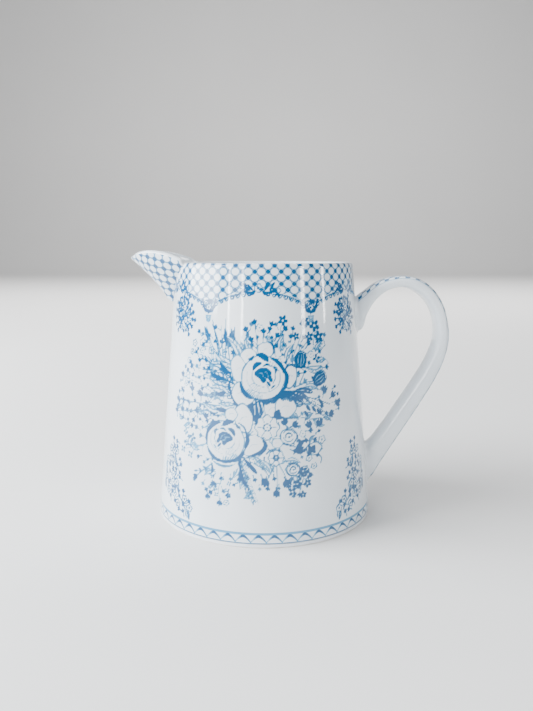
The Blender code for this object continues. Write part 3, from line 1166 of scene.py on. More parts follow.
class Plate:
    """The engraved sheet of the wall's flowers, unrolled: millimetres across and up, ink from 0 to 1."""

    per_radian = 40.0
    cell = 0.14
    bottom = 5.6
    top = 99.0
    soft = 0.2
    finest = 0.46

    def __init__(self) -> None:
        """Starts a blank sheet."""
        self.columns = round(math.tau * self.per_radian / self.cell)
        self.rows = round((self.top - self.bottom) / self.cell)
        self.ink = np.zeros((self.rows, self.columns), np.float32)

    def window(self, points: np.ndarray, margin: float) -> tuple[tuple[np.ndarray, np.ndarray], np.ndarray,
            np.ndarray]:
        """The part of the sheet round some points.

        Args:
            points: (across, up) points.
            margin: how far beyond them it reaches.

        Returns:
            The index of its cells, and their places across and up.
        """
        low, high = points.min(axis=0) - margin, points.max(axis=0) + margin
        half = math.pi * self.per_radian
        columns = np.arange(math.floor((low[0] + half) / self.cell), math.ceil((high[0] + half) / self.cell))
        first = max(math.floor((low[1] - self.bottom) / self.cell), 0)
        last = min(math.ceil((high[1] - self.bottom) / self.cell), self.rows)
        rows = np.arange(first, max(last, first))
        across, up = np.meshgrid((columns + 0.5) * self.cell - half, (rows + 0.5) * self.cell + self.bottom)
        return np.ix_(rows, columns % self.columns), across, up

    def lay(self, cells: tuple[np.ndarray, np.ndarray], cover: np.ndarray, tone: float | np.ndarray) -> None:
        """Prints a tone over part of the sheet.

        Args:
            cells: the index that window gave.
            cover: how much of each cell is covered.
            tone: the ink laid there.
        """
        self.ink[cells] = self.ink[cells] * (1 - cover) + tone * cover

    def cut(self, points: Sequence[Point2], width: float, tone: float, swell: Swell = Swell.TAPER) -> None:
        """Cuts a smooth line.

        Args:
            points: the points that it passes through.
            width: its greatest width.
            tone: its ink.
            swell: how the width changes.
        """
        width = max(width, self.finest)
        line = smooth_line(points, 5)
        cells, across, up = self.window(line, width / 2 + self.soft)
        cover = np.zeros_like(across)
        for index, (start, end) in enumerate(zip(line, line[1:])):
            run = end - start
            length = max(float(run @ run), 1e-9)
            share = np.clip(((across - start[0]) * run[0] + (up - start[1]) * run[1]) / length, 0, 1)
            off = np.hypot(across - start[0] - share * run[0], up - start[1] - share * run[1])
            whole = (index + share) / (len(line) - 1)
            half = np.maximum(width / 2 * self.profile(whole, swell), 0.17)
            cover = np.maximum(cover,
                np.clip((half - off) / self.soft + 0.5, 0, 1) * np.clip(half / 0.1, 0, 1))
        self.lay(cells, cover, tone)

    @staticmethod
    def profile(share: np.ndarray, swell: Swell) -> np.ndarray:
        """The width of a line along it, as a share of its greatest."""
        if swell is Swell.EVEN:
            return np.ones_like(share)
        if swell is Swell.TAPER:
            return 1 - 0.55 * share
        return np.sin(math.pi * np.clip(share, 0.02, 0.98)) ** 0.7

    def disc(
        self,
        centre: Point2,
        size: Point2,
        turn: float = 0.0,
        tone: float = 0.0,
        rim: float = 0.0,
        ruffle: tuple[int, float] = (0, 0.0),
        width: float = 0.46,
    ) -> None:
        """Lays an oval petal, with an inked rim.

        Args:
            centre: its middle.
            size: its two half sizes.
            turn: its turn in degrees.
            tone: its own ink.
            rim: its rim's ink.
            ruffle: how many waves its edge has, and how deep they are.
            width: the rim's width.
        """
        reach = max(size) * (1 + ruffle[1]) + width
        cells, across, up = self.window(np.array([centre]), reach)
        angle = math.radians(turn)
        first = ((across - centre[0]) * math.cos(angle) + (up - centre[1]) * math.sin(angle)) / size[0]
        second = ((up - centre[1]) * math.cos(angle) - (across - centre[0]) * math.sin(angle)) / size[1]
        edge = 1 + ruffle[1] * np.cos(ruffle[0] * np.arctan2(second, first))
        off = (edge - np.hypot(first, second)) * min(size)
        inside = np.clip(off / self.soft + 0.5, 0, 1)
        line = np.clip((width / 2 - np.abs(off)) / self.soft + 0.5, 0, 1)
        self.lay(cells, inside, tone)
        self.lay(cells, line, rim * line + self.ink[cells] * (1 - line)) if rim else None

    def leaf(self, base: Point2, tip: Point2, width: float, tone: float, bend: float = 0.0,
            vein: float = 0.0) -> None:
        """Lays a pointed leaf or petal.

        Args:
            base: where it starts.
            tip: where it ends.
            width: its greatest width.
            tone: its ink.
            bend: how far its middle is pushed sideways, as a share of its length.
            vein: width of the white line down its middle.
        """
        start, run = np.array(base), np.array(tip) - np.array(base)
        length = float(np.hypot(*run))
        cells, across, up = self.window(np.array([base, tip]), width + abs(bend) * length + self.soft)
        along = ((across - start[0]) * run[0] + (up - start[1]) * run[1]) / length**2
        aside = ((up - start[1]) * run[0] - (across - start[0]) * run[1]) / length
        inner = np.clip(along, 0.0, 1.0)
        aside = aside - bend * length * 4 * inner * (1 - inner)
        half = width / 2 * np.sin(math.pi * inner**0.8)
        cover = np.clip((half - np.abs(aside)) / self.soft + 0.4, 0, 1) * ((along > 0) & (along < 1))
        if vein:
            cover = cover * np.clip((np.abs(aside) - vein / 2) / self.soft + 0.5, 0, 1)
        self.lay(cells, cover, tone)

    def holds_ink(self, first: float, last: float, low: float, high: float) -> bool:
        """Whether any ink lies in a cell of the wall, from its angles in radians and heights in metres."""
        corners = np.array([[first * self.per_radian, low / MM], [last * self.per_radian, high / MM]])
        cells, across, _ = self.window(corners, 0.15)
        return bool(across.size and self.ink[cells].max() > 0.08)

    def read(self, angle: np.ndarray, height: np.ndarray) -> np.ndarray:
        """The ink at points of the wall, blended between cells."""
        column = (angle + math.pi) * self.per_radian / self.cell - 0.5
        row = (height / MM - self.bottom) / self.cell - 0.5
        left, low = np.floor(column).astype(int), np.floor(row).astype(int)
        aside, above = column - left, row - low
        value = np.zeros_like(angle)
        for step_x, step_z in ((0, 0), (1, 0), (0, 1), (1, 1)):
            part = np.abs(1 - step_x - aside) * np.abs(1 - step_z - above)
            rows = np.clip(low + step_z, 0, self.rows - 1)
            value += part * self.ink[rows, (left + step_x) % self.columns]
        return np.where((row < 0) | (row > self.rows - 1), 0.0, value)


class Engraver:
    """Draws the wall's flowers on a plate."""

    def __init__(self, plate: Plate) -> None:
        """Takes the plate to cut."""
        self.plate = plate

    # small things

    def floret(self, x: float, z: float, size: float, tone: float = 0.95, petals: int = 5,
            turn: float = 20) -> None:
        """A small dark flower with a white eye."""
        for petal in range(petals):
            spot = Spot(x, z, size, turn + petal * 360 / petals)
            self.plate.disc(spot.at(0, 0.68), (0.33 * size, 0.46 * size), spot.turn, tone=tone)
        self.plate.disc((x, z), (0.24 * size, 0.24 * size), tone=0.15)

    def bell(self, x: float, z: float, turn: float, size: float, tone: float = 0.95) -> None:
        """A small bell flower of three points, seen from its side."""
        spot = Spot(x, z, size, turn)
        for lean, reach in ((-0.62, 0.8), (0.62, 0.8), (0.0, 1.0)):
            self.plate.leaf(spot.at(0, -0.55), spot.at(lean, reach), 0.62 * size, tone, bend=-0.1 * lean)
        self.plate.cut([spot.at(0, -0.4), spot.at(0.05, -1.1)], 0.3, tone * 0.8)

    def bud(self, x: float, z: float, turn: float, size: float) -> None:
        """A dark round bud, lined with white, on its cup."""
        spot = Spot(x, z, size, turn)
        self.plate.disc((x, z), (0.85 * size, size), turn, tone=0.95)
        for lean in (-0.42, 0.05, 0.46):
            self.plate.cut(spot.many([(lean * 0.4, -0.75), (lean, 0), (lean * 0.6, 0.8)]), 0.26, 0.25,
                Swell.CRESCENT)
        self.plate.cut(spot.many([(-0.9, 0.35), (-0.5, 1.0), (0.0, 1.2)]), 0.3, 0.8, Swell.CRESCENT)
        self.plate.cut(spot.many([(0.9, 0.35), (0.6, 0.95), (0.2, 1.15)]), 0.3, 0.8, Swell.CRESCENT)
        for side in (-1, 1):
            self.plate.leaf(spot.at(0, -0.8), spot.at(0.95 * side, -0.95), 0.4 * size, 0.85, bend=0.12 * side)

    def sprig(self, points: Sequence[Point2], pairs: int, size: float, tone: float,
            width: float = 0.26) -> None:
        """A stem with pairs of small leaves and one at its tip.

        Args:
            points: the stem.
            pairs: how many pairs.
            size: the length of a leaf.
            tone: the ink.
            width: the stem's width.
        """
        self.plate.cut(points, width, tone * 0.75)
        line = smooth_line(points, 12)
        for pair in range(pairs + 1):
            share = (pair + 0.8) / (pairs + 0.8)
            index = min(int(share * (len(line) - 1)), len(line) - 2)
            here, ahead = line[index], line[index + 1] - line[index]
            heading = math.degrees(math.atan2(ahead[1], ahead[0])) - 90
            if pair == pairs:
                self.plate.leaf(tuple(here), Spot(*here, size, heading).at(0, 1.2), 0.42 * size, tone)
                continue
            for side in (-1, 1):
                spot = Spot(*here, size * (1.15 - 0.4 * share), heading - side * 48)
                self.plate.leaf(tuple(here), spot.at(0, 1), 0.4 * size, tone, bend=0.12 * side)

    def fern(self, points: Sequence[Point2], leaflets: int, size: float, tone: float) -> None:
        """A feathered leaf: a spine whose leaflets lie back along it.

        Args:
            points: the spine.
            leaflets: how many on each side.
            size: the longest leaflet.
            tone: the ink.
        """
        line = smooth_line(points, 12)
        for leaflet in range(leaflets):
            share = (leaflet + 0.5) / leaflets
            index = min(int(share * (len(line) - 1)), len(line) - 2)
            here, ahead = line[index], line[index + 1] - line[index]
            heading = math.degrees(math.atan2(ahead[1], ahead[0])) - 90
            reach = size * (0.45 + 0.55 * math.sin(math.pi * share) ** 0.6)
            for side in (-1, 1):
                spot = Spot(*here, reach, heading - side * 30)
                shade = tone * (1.0 if side > 0 else 0.62)
                self.plate.cut(spot.many([(0, 0), (0.1 * side, 0.55), (0.0, 1.0)]), 0.42, shade)
        self.plate.cut(points, 0.5, tone)

    def hairs(self, spot: Spot, radius: float, angles: Point2, count: int, length: float,
            tone: float) -> None:
        """Short cuts that shade a petal from its edge inwards.

        Args:
            spot: the petal's place.
            radius: where the cuts start, from the middle.
            angles: first and last angle in degrees.
            count: how many.
            length: their length, inwards where it is negative.
            tone: their ink.
        """
        for step, angle in enumerate(np.radians(np.linspace(*angles, count))):
            reach = length * (0.75 + 0.5 * ((step * 7) % 5) / 5)
            near, far = radius, radius + reach
            ends = [(near * math.cos(angle), near * math.sin(angle)),
                (far * math.cos(angle), far * math.sin(angle))]
            self.plate.cut(spot.many(ends), 0.3, tone)

    def bow(self, spot: Spot, radius: float, angles: Point2, width: float, tone: float) -> None:
        """A crescent round a petal's edge.

        Args:
            spot: the petal's place.
            radius: the arc's radius.
            angles: its first and last angle in degrees.
            width: its greatest width, on the sheet.
            tone: its ink.
        """
        points = [
            (radius * math.cos(a),
                radius * math.sin(a)) for a in np.radians(np.linspace(angles[0], angles[1], 6))
        ]
        self.plate.cut(spot.many(points), width, tone, Swell.CRESCENT)

    # large flowers

    def rose(self, spot: Spot, depth: float) -> None:
        """A full-blown rose: a round of wrapped petals with a dark folded heart.

        Args:
            spot: its place, with the ball's radius as its size.
            depth: the darkest ink in it.
        """
        size = spot.size
        self.plate.disc(spot.at(0, 0), (size, 0.97 * size), rim=0.5, ruffle=(7, 0.015))
        # The shadows round the ball: (points, width as a share of the radius, tone).
        for points, width, tone in (
            (((-0.7, 0.66), (-0.93, 0.35), (-0.97, 0.0)), 0.07, 0.55),
            (((-1.08, -0.1), (-0.97, -0.48), (-0.78, -0.74), (-0.5, -0.9)), 0.2, 0.8),
            (((-0.46, -0.86), (-0.1, -1.0), (0.3, -1.0), (0.62, -0.84), (0.86, -0.6)), 0.16, 0.9),
            (((-0.62, 0.86), (-0.5, 0.84), (-0.36, 0.98)), 0.14, 0.85),
            (((-0.22, 1.02), (0.02, 0.96), (0.18, 0.84), (0.3, 0.7)), 0.26, 1.0),
            (((0.4, 0.82), (0.62, 0.72), (0.83, 0.52), (0.95, 0.3), (0.96, 0.14)), 0.17, 1.0),
        ):
            self.plate.cut(spot.many(points), width * size, tone * depth, Swell.CRESCENT)
        # The wrapped petals' edges, from the outermost in.
        for points, width, tone in (
            (((-0.72, 0.3), (-0.74, -0.1), (-0.5, -0.5), (-0.1, -0.66), (0.3, -0.62)), 0.05, 0.4),
            (((0.3, -0.62), (0.66, -0.4), (0.8, 0.0), (0.74, 0.3)), 0.05, 0.45),
            (((-0.46, 0.3), (-0.5, 0.0), (-0.32, -0.28), (0.04, -0.42)), 0.05, 0.5),
            (((0.42, -0.3), (0.56, -0.06), (0.56, 0.2)), 0.06, 0.6),
            (((-0.44, 0.36), (-0.28, 0.58), (-0.02, 0.64)), 0.2, 0.95),
            (((0.04, 0.5), (0.22, 0.56), (0.4, 0.48)), 0.1, 0.8),
            (((0.46, 0.46), (0.62, 0.34), (0.6, 0.18)), 0.13, 0.9),
            (((0.34, -0.5), (0.44, -0.42), (0.54, -0.36)), 0.08, 0.7),
            (((0.12, -0.32), (0.2, -0.44), (0.24, -0.56)), 0.06, 0.5),
            (((0.18, -0.18), (0.24, -0.28), (0.3, -0.38)), 0.12, 0.9),
            (((-0.62, -0.3), (-0.47, -0.23), (-0.32, -0.27)), 0.05, 0.4),
        ):
            self.plate.cut(spot.many(points), width * size, tone * depth, Swell.CRESCENT)
        # The dark heart, with small pale folds left in it.
        for points, width in (
            (((-0.26, 0.2), (-0.1, 0.3), (0.14, 0.3), (0.28, 0.18)), 0.24),
            (((-0.2, 0.16), (-0.06, 0.04), (0.02, -0.1)), 0.24),
            (((0.24, 0.2), (0.3, 0.02), (0.36, -0.14)), 0.16),
            (((-0.02, 0.06), (0.14, 0.08), (0.28, 0.02)), 0.2),
        ):
            self.plate.cut(spot.many(points), width * size, 0.92 * depth, Swell.EVEN)
        for points in (((-0.2, 0.24), (-0.04, 0.2), (0.02, 0.06)), ((0.08, 0.28), (0.2, 0.2), (0.24, 0.0)),
            ((0.0, 0.04), (0.1, 0.0), (0.16, -0.08))):
            self.plate.cut(spot.many(points), 0.055 * size, 0.35, Swell.CRESCENT)
        self.hairs(spot, 0.97, (214, 262), 10, -0.2, 0.5)
        self.hairs(spot, 0.62, (215, 250), 5, -0.14, 0.32)
        self.hairs(spot, 0.8, (20, 60), 5, -0.12, 0.36)

    def fan(self, x: float, z: float, turn: float, size: float, tone: float) -> None:
        """Three short leaves that fan out from the end of a little stem."""
        spot = Spot(x, z, size, turn)
        self.plate.cut(spot.many([(0, -1.3), (0.12, -0.7), (0, 0)]), 0.4, 0.8 * tone)
        for side, reach in ((-0.75, 0.65), (0.1, 1.1), (0.8, 0.55)):
            self.plate.leaf(spot.at(0, -0.25), spot.at(side, reach), 0.62 * size, tone, bend=0.1 * side)

    def petal(self, spot: Spot, size: Point2, turn: float, rim: float = 0.55, ruffle: float = 0.03) -> None:
        """A loose outer petal with a soft edge and a faint fold."""
        self.plate.disc(spot.at(0, 0), size, turn, rim=rim, ruffle=(5, ruffle))
        fold = Spot(spot.x, spot.z, min(size), turn)
        self.plate.cut(fold.many([(-0.45, -0.2), (-0.1, 0.12), (0.4, 0.1)]), 0.4, 0.6 * rim, Swell.CRESCENT)

    def open_leaf(self, base: Point2, tip: Point2, width: float, tone: float, bend: float = 0.0) -> None:
        """A pale leaf with an inked edge and a midrib, darker on one side.

        Args:
            base: where it starts.
            tip: where it ends.
            width: its width.
            tone: the ink of its edge.
            bend: how far it curves, as a share of its length.
        """
        self.plate.leaf(base, tip, width + 0.5, tone, bend)
        self.plate.leaf(base, tip, width - 0.35, 0.12, bend)
        length = math.dist(base, tip)
        spot = Spot(*base, length, math.degrees(math.atan2(tip[1] - base[1], tip[0] - base[0])))
        rib = [(0.0, 0.0), (0.5, bend), (0.95, 0.0)]
        self.plate.cut(spot.many(rib), 0.42, tone)
        for share in (0.25, 0.45, 0.65):
            root = (share, 4 * bend * share * (1 - share))
            self.plate.cut(spot.many([root, (share + 0.14, root[1] - 0.32 * width / length)]), 0.42,
                0.8 * tone)

    def daisy(self, x: float, z: float, size: float) -> None:
        """A pale open flower with a dotted heart."""
        self.plate.disc((x, z), (size, size), rim=0.62, ruffle=(8, 0.08))
        for petal in range(6):
            spot = Spot(x, z, size, petal * 60 + 30)
            self.plate.cut(spot.many([(0, 0.5), (0.03, 0.85)]), 0.4, 0.5)
        self.plate.disc((x, z), (0.34 * size, 0.3 * size), rim=0.6, ruffle=(8, 0.08), width=0.36)
        for dot in range(7):
            here = Spot(x, z, size, dot * 360 / 7).at(0, 0.3)
            self.plate.disc(here, (0.34, 0.3), tone=0.85)
        self.plate.disc((x, z), (0.3, 0.26), tone=0.6)

    def rosette(self, x: float, z: float, size: float) -> None:
        """A small half-open rose of wrapped lines."""
        spot = Spot(x, z, size)
        self.plate.disc((x, z), (size, size * 0.95), rim=0.65, ruffle=(5, 0.04))
        self.bow(spot, 0.78, (150, 20), 0.3, 0.7)
        self.bow(spot, 0.62, (330, 190), 0.3, 0.6)
        self.bow(spot, 0.4, (200, 0), 0.42, 0.9)
        self.bow(spot, 0.98, (200, 260), 0.5, 0.85)
        self.bow(spot, 1.0, (-40, 30), 0.36, 0.7)
        self.plate.disc((x + 0.05 * size, z - 0.08 * size), (0.16 * size, 0.12 * size), tone=0.85)

    def lily(self, spot: Spot) -> None:
        """An open trumpet flower with long stamens.

        Args:
            spot: its place, with its length as its size.
        """
        self.plate.disc(spot.at(0.12, 0.02), (0.62 * spot.size, 0.44 * spot.size), spot.turn, rim=0.6,
            ruffle=(5, 0.06))
        self.plate.leaf(spot.at(-0.45, -0.45), spot.at(-0.36, 0.5), 0.34 * spot.size, 0.95, bend=-0.2)
        for spread in range(6):
            end = (0.18 + 0.02 * (spread % 2), -0.26 + 0.1 * spread)
            self.plate.cut(spot.many([(-0.32, -0.02), (0.0, end[1] * 0.8), end]), 0.3, 0.85, Swell.EVEN)
        self.plate.cut(spot.many([(0.45, -0.5), (0.62, -0.8), (0.5, -1.15)]), 0.34, 0.8)
        self.plate.leaf(spot.at(-0.2, 0.42), spot.at(0.42, 0.98), 0.3 * spot.size, 0.45, bend=0.2)
        self.plate.cut(spot.many([(-0.2, 0.42), (-0.1, 0.85), (0.42, 0.98)]), 0.28, 0.6)

    def iris(self, spot: Spot) -> None:
        """Tall pale blades with a flame-shaped bloom."""
        for lean, height, tone in ((-0.5, 0.9, 0.5), (-0.16, 1.05, 0.7), (0.2, 0.8, 0.45), (0.46, 1.0, 0.55)):
            edge = [(0.1 * lean, -1.0), (0.5 * lean, -0.2), (lean, height)]
            self.plate.cut(spot.many(edge), 0.5, tone, Swell.CRESCENT)
        self.plate.leaf(spot.at(-0.42, 0.3), spot.at(-0.62, 0.95), 0.2 * spot.size, 0.7)
        self.plate.leaf(spot.at(0.3, -0.1), spot.at(0.62, 0.7), 0.22 * spot.size, 0.6, bend=-0.15)
        self.plate.cut(spot.many([(-0.2, 0.9), (-0.05, 0.35), (0.0, -0.5)]), 0.6, 0.62, Swell.CRESCENT)

    def spray(self, root: Point2, ends: Sequence[Point2], size: float, tone: float) -> None:
        """Fine stems from one root, each with a floret at its end."""
        for index, end in enumerate(ends):
            sag = (0.5 * (root[0] + end[0]), 0.5 * (root[1] + end[1]) + 0.12 * abs(end[0] - root[0]))
            self.plate.cut([root, sag, end], 0.24, 0.5 * tone)
            self.floret(*end, size * (0.85 + 0.1 * (index % 3)), tone, 4 + index % 2, 25 * index)

    # the bouquet and its companions

    def undergrowth(self, x: float) -> None:
        """The small leaves and half-open flowers that fill the bouquet's outline.

        Args:
            x: the bouquet's middle on the sheet.
        """
        chance = random.Random(7)
        for row in range(21):
            for column in range(24):
                across = -37.5 + 3.1 * column + 1.5 * (row % 2) + chance.uniform(-0.8, 0.8)
                up = 16.0 + 3.1 * row + chance.uniform(-0.8, 0.8)
                outward = math.degrees(math.atan2(up - 48, across + 2)) - 90 + chance.uniform(-50, 50)
                size, tone = chance.uniform(1.0, 1.55), chance.uniform(0.5, 0.95)
                kind = chance.random()
                if not inside(BOUQUET_OUTLINE, across, up) or kind > 0.86:
                    continue
                if kind < 0.62:
                    self.fan(x + across, up, outward, size, tone)
                elif kind < 0.76:
                    self.plate.disc((x + across, up), (0.95 * size, 0.85 * size), outward, rim=0.8 * tone,
                        ruffle=(5, 0.14), width=0.4)
                    self.plate.disc((x + across, up), (0.3, 0.3), tone=tone)
                else:
                    stem = Spot(x + across, up, 1.5 * size, outward)
                    self.open_leaf(stem.at(0, -1), stem.at(0.2, 1), 1.3 * size, 0.8 * tone, 0.12)

    def foliage(self, x: float) -> None:
        """The bouquet's leaves, stems and small flowers, which lie behind its blooms.

        Args:
            x: the bouquet's middle on the sheet.
        """
        cut, leaf = self.plate.cut, self.plate.leaf
        self.undergrowth(x)
        self.iris(Spot(x - 16.5, 70.5, 9.5, 12))
        self.iris(Spot(x - 10.0, 68.5, 9.0, -6))
        for base, tip in (((-11, 60), (-25, 66.5)), ((-10, 58), (-22.5, 61.5)), ((-10, 55), (-20, 52.5))):
            points = [(x + base[0], base[1]), (x + (base[0] + tip[0]) / 2, (base[1] + tip[1]) / 2 + 0.8),
                (x + tip[0], tip[1])]
            self.fern(points, 7, 3.0, 0.75)
        for end in ((-35.5, 59), (-29, 54.5), (-24.5, 53), (-38, 49.5), (-34.3, 46), (-26, 46.8),
            (-21.5, 45.5), (-38.5, 45)):
            cut([(x - 13, 50), (x + end[0] * 0.62, end[1] * 0.6 + 20.5), (x + end[0], end[1])], 0.26, 0.5)
            self.fan(x + end[0], end[1], 60 - end[1], 1.7, 0.85)
        for end in ((-26.5, 75.5), (-24, 71), (-27.5, 68), (-30.5, 64), (-32, 61)):
            cut([(x - 19, 62), (x + end[0] * 0.82, end[1] - 1.5), (x + end[0], end[1])], 0.24, 0.45)
            self.fan(x + end[0], end[1], 40, 1.4, 0.7)
        for spot in ((-31, 56.6), (-27, 50.4), (-31, 49.6), (-22, 49.5), (-18, 47.2), (-30.5, 43),
            (-34.5, 53)):
            self.fan(x + spot[0], spot[1], spot[0] * 11, 1.2, 0.7)
        for base, tip, width, bend in (
            ((-12, 57), (-21, 59.6), 3.0, 0.1), ((-12, 54), (-20.5, 56.2), 3.0, -0.1),
                ((-9.5, 51), (-17, 51.2), 2.6, 0.12),
            ((-8, 64), (-19.5, 69.5), 3.2, 0.1), ((-7.5, 66), (-14, 75), 2.8, -0.1),
                ((-9, 62), (-21, 64.8), 2.6, -0.08),
            ((-15, 48.5), (-23.5, 50.8), 2.4, 0.1), ((-17, 44.5), (-22.5, 41.5), 2.0, 0.12),
        ):
            self.open_leaf((x + base[0], base[1]), (x + tip[0], tip[1]), width, 0.62, bend)
        for base, tip in (((-14, 59.5), (-20.5, 62)), ((-11.5, 61.5), (-16.5, 66)),
            ((-13.5, 55), (-18, 54.4)), ((-12.5, 48.8), (-17.5, 49.2))):
            leaf((x + base[0], base[1]), (x + tip[0], tip[1]), 1.5, 0.88, bend=0.1)
        # Fine sprays above the upper rose.
        tops = ((-6, 77), (-2.8, 79.6), (-4, 73.5), (0.6, 76.4), (3.6, 78.9), (5.6, 75), (8.6, 77.4),
            (2.6, 73))
        for end in tops:
            cut([(x + 0.6, 68), (x + end[0] * 0.6, 72.5), (x + end[0], end[1])], 0.24, 0.5)
            self.fan(x + end[0], end[1], -5 * end[0], 1.5, 0.9)
        for x_off, z, size in ((8.0, 80.4, 1.7), (17.0, 79.5, 1.7), (21.0, 78.2, 2.0), (13.0, 74.8, 1.3),
            (18.5, 74.4, 1.6), (22.8, 74.2, 1.9)):
            cut([(x + 11, 66), (x + x_off * 0.9, z - 4), (x + x_off, z - 1)], 0.24, 0.45)
            self.floret(x + x_off, z, size, 0.85, 5, z * 5)
        for x_off, z in ((-1.6, 71.2), (5.0, 71.6), (10.6, 70.8), (15.6, 71.0), (20.5, 70.2), (23.5, 69.5),
            (10.4, 72.9)):
            self.floret(x + x_off, z, 0.6, 0.7, 4, z * 13)
        self.bud(x + 14.8, 66.2, -4, 2.75)
        self.bud(x + 22.4, 59.3, -62, 2.9)
        self.floret(x + 21.4, 66.6, 1.4, 0.9, 4, 10)
        cut([(x + 14, 58), (x + 16, 62), (x + 15, 63.5)], 0.3, 0.6)
        cut([(x + 12, 57), (x + 17, 58.4), (x + 20, 58.6)], 0.3, 0.6)
        cut([(x + 24.6, 66.4), (x + 26.2, 65.6), (x + 27.3, 64.2)], 0.3, 0.5)
        for base, tip, width, bend in (
            ((9, 66), (12.4, 72.4), 2.0, 0.12), ((3, 69.5), (1.6, 75.6), 2.0, -0.1),
                ((7, 69.5), (8.4, 75.6), 2.0, 0.12),
            ((-3, 69), (-6.4, 74.6), 2.0, 0.1), ((17, 63.5), (24.4, 63.4), 2.4, -0.1),
                ((11, 62), (14, 60.4), 1.6, 0.1),
            ((15.5, 56.6), (22, 55.6), 2.0, 0.12), ((19, 45.2), (24.4, 42.2), 1.8, -0.1),
                ((21, 69), (24.4, 72.4), 1.6, 0.1),
        ):
            self.open_leaf((x + base[0], base[1]), (x + tip[0], tip[1]), width, 0.6, bend)
        # Dark leaves and bells to the right of the roses.
        for start, end in (((10, 55.5), (18.5, 51.5)), ((10.5, 54.5), (16, 50.6)),
            ((12, 55.8), (20.5, 54.0)), ((9.5, 53.6), (13.2, 49.8))):
            leaf((x + start[0], start[1]), (x + end[0], end[1]), 2.0, 0.95, bend=0.08, vein=0.24)
        cut([(x + 12, 54.5), (x + 19, 52.6), (x + 27, 49.6)], 0.34, 0.75)
        cut([(x + 15, 53.4), (x + 20, 50.0), (x + 25, 46.6)], 0.3, 0.7)
        for x_off, z, turn in ((24.6, 55.2, -30), (28.6, 52.8, -55), (31.0, 49.4, -80), (27.4, 46.2, -110)):
            self.bell(x + x_off, z, turn, 1.8)
        for x_off, z in ((17.5, 49.2), (19.8, 48.6), (21.8, 47.6), (16.5, 47.4), (23.0, 50.8)):
            leaf((x + x_off - 1, z + 1.1), (x + x_off + 0.8, z - 1.2), 1.15, 0.9)
        for x_off, z, turn in ((8.2, 44.8, 20), (11.9, 43.8, -70), (17.5, 43.2, 30), (21.5, 43.4, -40)):
            self.bell(x + x_off, z, turn, 1.75)
        cut([(x + 6, 46.5), (x + 12, 46.6), (x + 18, 45.4), (x + 22, 45.2)], 0.26, 0.6)

    def hangings(self, x: float) -> None:
        """The leaves and sprays that hang below the bouquet.

        Args:
            x: the bouquet's middle on the sheet.
        """
        cut, leaf = self.plate.cut, self.plate.leaf
        self.fern([(x - 7.5, 31.6), (x - 6.0, 26.5), (x - 4.4, 21.5), (x - 2.2, 16.6)], 11, 3.0, 0.62)
        leaf((x - 8.0, 32), (x - 3.9, 20.6), 1.5, 0.85, bend=-0.1)
        cut([(x - 6.6, 32.4), (x - 3.2, 28.6), (x - 1.6, 26.8)], 1.3, 0.95, Swell.CRESCENT)
        cut([(x - 5, 32.5), (x - 1, 31.2), (x + 2.2, 28)], 0.34, 0.5)
        cut([(x - 4, 31), (x + 0.4, 28.6), (x + 2.6, 25.6)], 0.34, 0.6, Swell.CRESCENT)
        for base, tip, width, bend in (
            ((-3, 33), (2.6, 29.4), 2.2, -0.12), ((-1, 31.5), (3.4, 26.2), 2.0, 0.12),
                ((8, 31), (14, 30), 2.0, 0.1),
            ((-24, 33), (-29, 36), 2.0, 0.1), ((-17, 27), (-21.5, 24.2), 1.8, -0.1),
                ((-8.4, 30), (-10.4, 24.4), 1.8, 0.1),
        ):
            self.open_leaf((x + base[0], base[1]), (x + tip[0], tip[1]), width, 0.55, bend)
        stems = (((4.6, 30), (2.8, 26.5), (1.6, 24.2)), ((5.0, 30), (5.4, 25), (5.2, 20.8)),
            ((6, 30), (8, 26), (8.6, 24)))
        for stem in stems:
            cut([(x + px, pz) for px, pz in stem], 0.26, 0.55)
        self.bell(x + 1.3, 23.7, 168, 2.0)
        self.bell(x + 8.6, 23.4, 200, 2.1)
        self.bell(x + 5.0, 19.9, 180, 1.7)
        ends = ((13.6, 25.2), (16.2, 22.4), (10.6, 20.0), (14.4, 18.6), (16.4, 25.6), (12.4, 22.6))
        self.spray((x + 11.5, 28), [(x + end[0], end[1]) for end in ends], 1.45, 0.85)
        for x_off, z, turn in ((-25.2, 23.2, 120), (-19.6, 17.0, 190), (-14.8, 15.4, 170), (-17.6, 21.8, 60)):
            self.bell(x + x_off, z, turn, 1.5, 0.72)
        cut([(x - 16, 31), (x - 20, 27.4), (x - 24.4, 24)], 0.28, 0.5)
        self.sprig([(x - 19, 28.6), (x - 22, 26.2), (x - 24.5, 25.4)], 2, 1.9, 0.6)
        cut([(x - 13.6, 25), (x - 15.4, 20.5), (x - 14.8, 16.5)], 0.24, 0.4)
        for x_off, z in ((-18.6, 20.6), (-16.6, 20.2), (-11.5, 22.6), (-12.8, 20.0), (-16.2, 18.2),
            (-11.6, 18.4), (-18, 24.4)):
            self.floret(x + x_off, z, 0.85, 0.6, 4, z * 17)
        for x_off, z, size in ((-31.5, 38.5, 1.2), (-27.6, 37.2, 1.5), (-30.4, 34.4, 1.2),
            (-32.6, 31.8, 1.3), (-28.4, 30.6, 1.3)):
            cut([(x - 20, 36), (x - 24.5, 34.6), (x + x_off, z)], 0.24, 0.4)
            self.floret(x + x_off, z, size, 0.6, 4, z * 7)

    def blooms(self, x: float) -> None:
        """The bouquet's large flowers, from the back to the front.

        Args:
            x: the bouquet's middle on the sheet.
        """
        cut = self.plate.cut
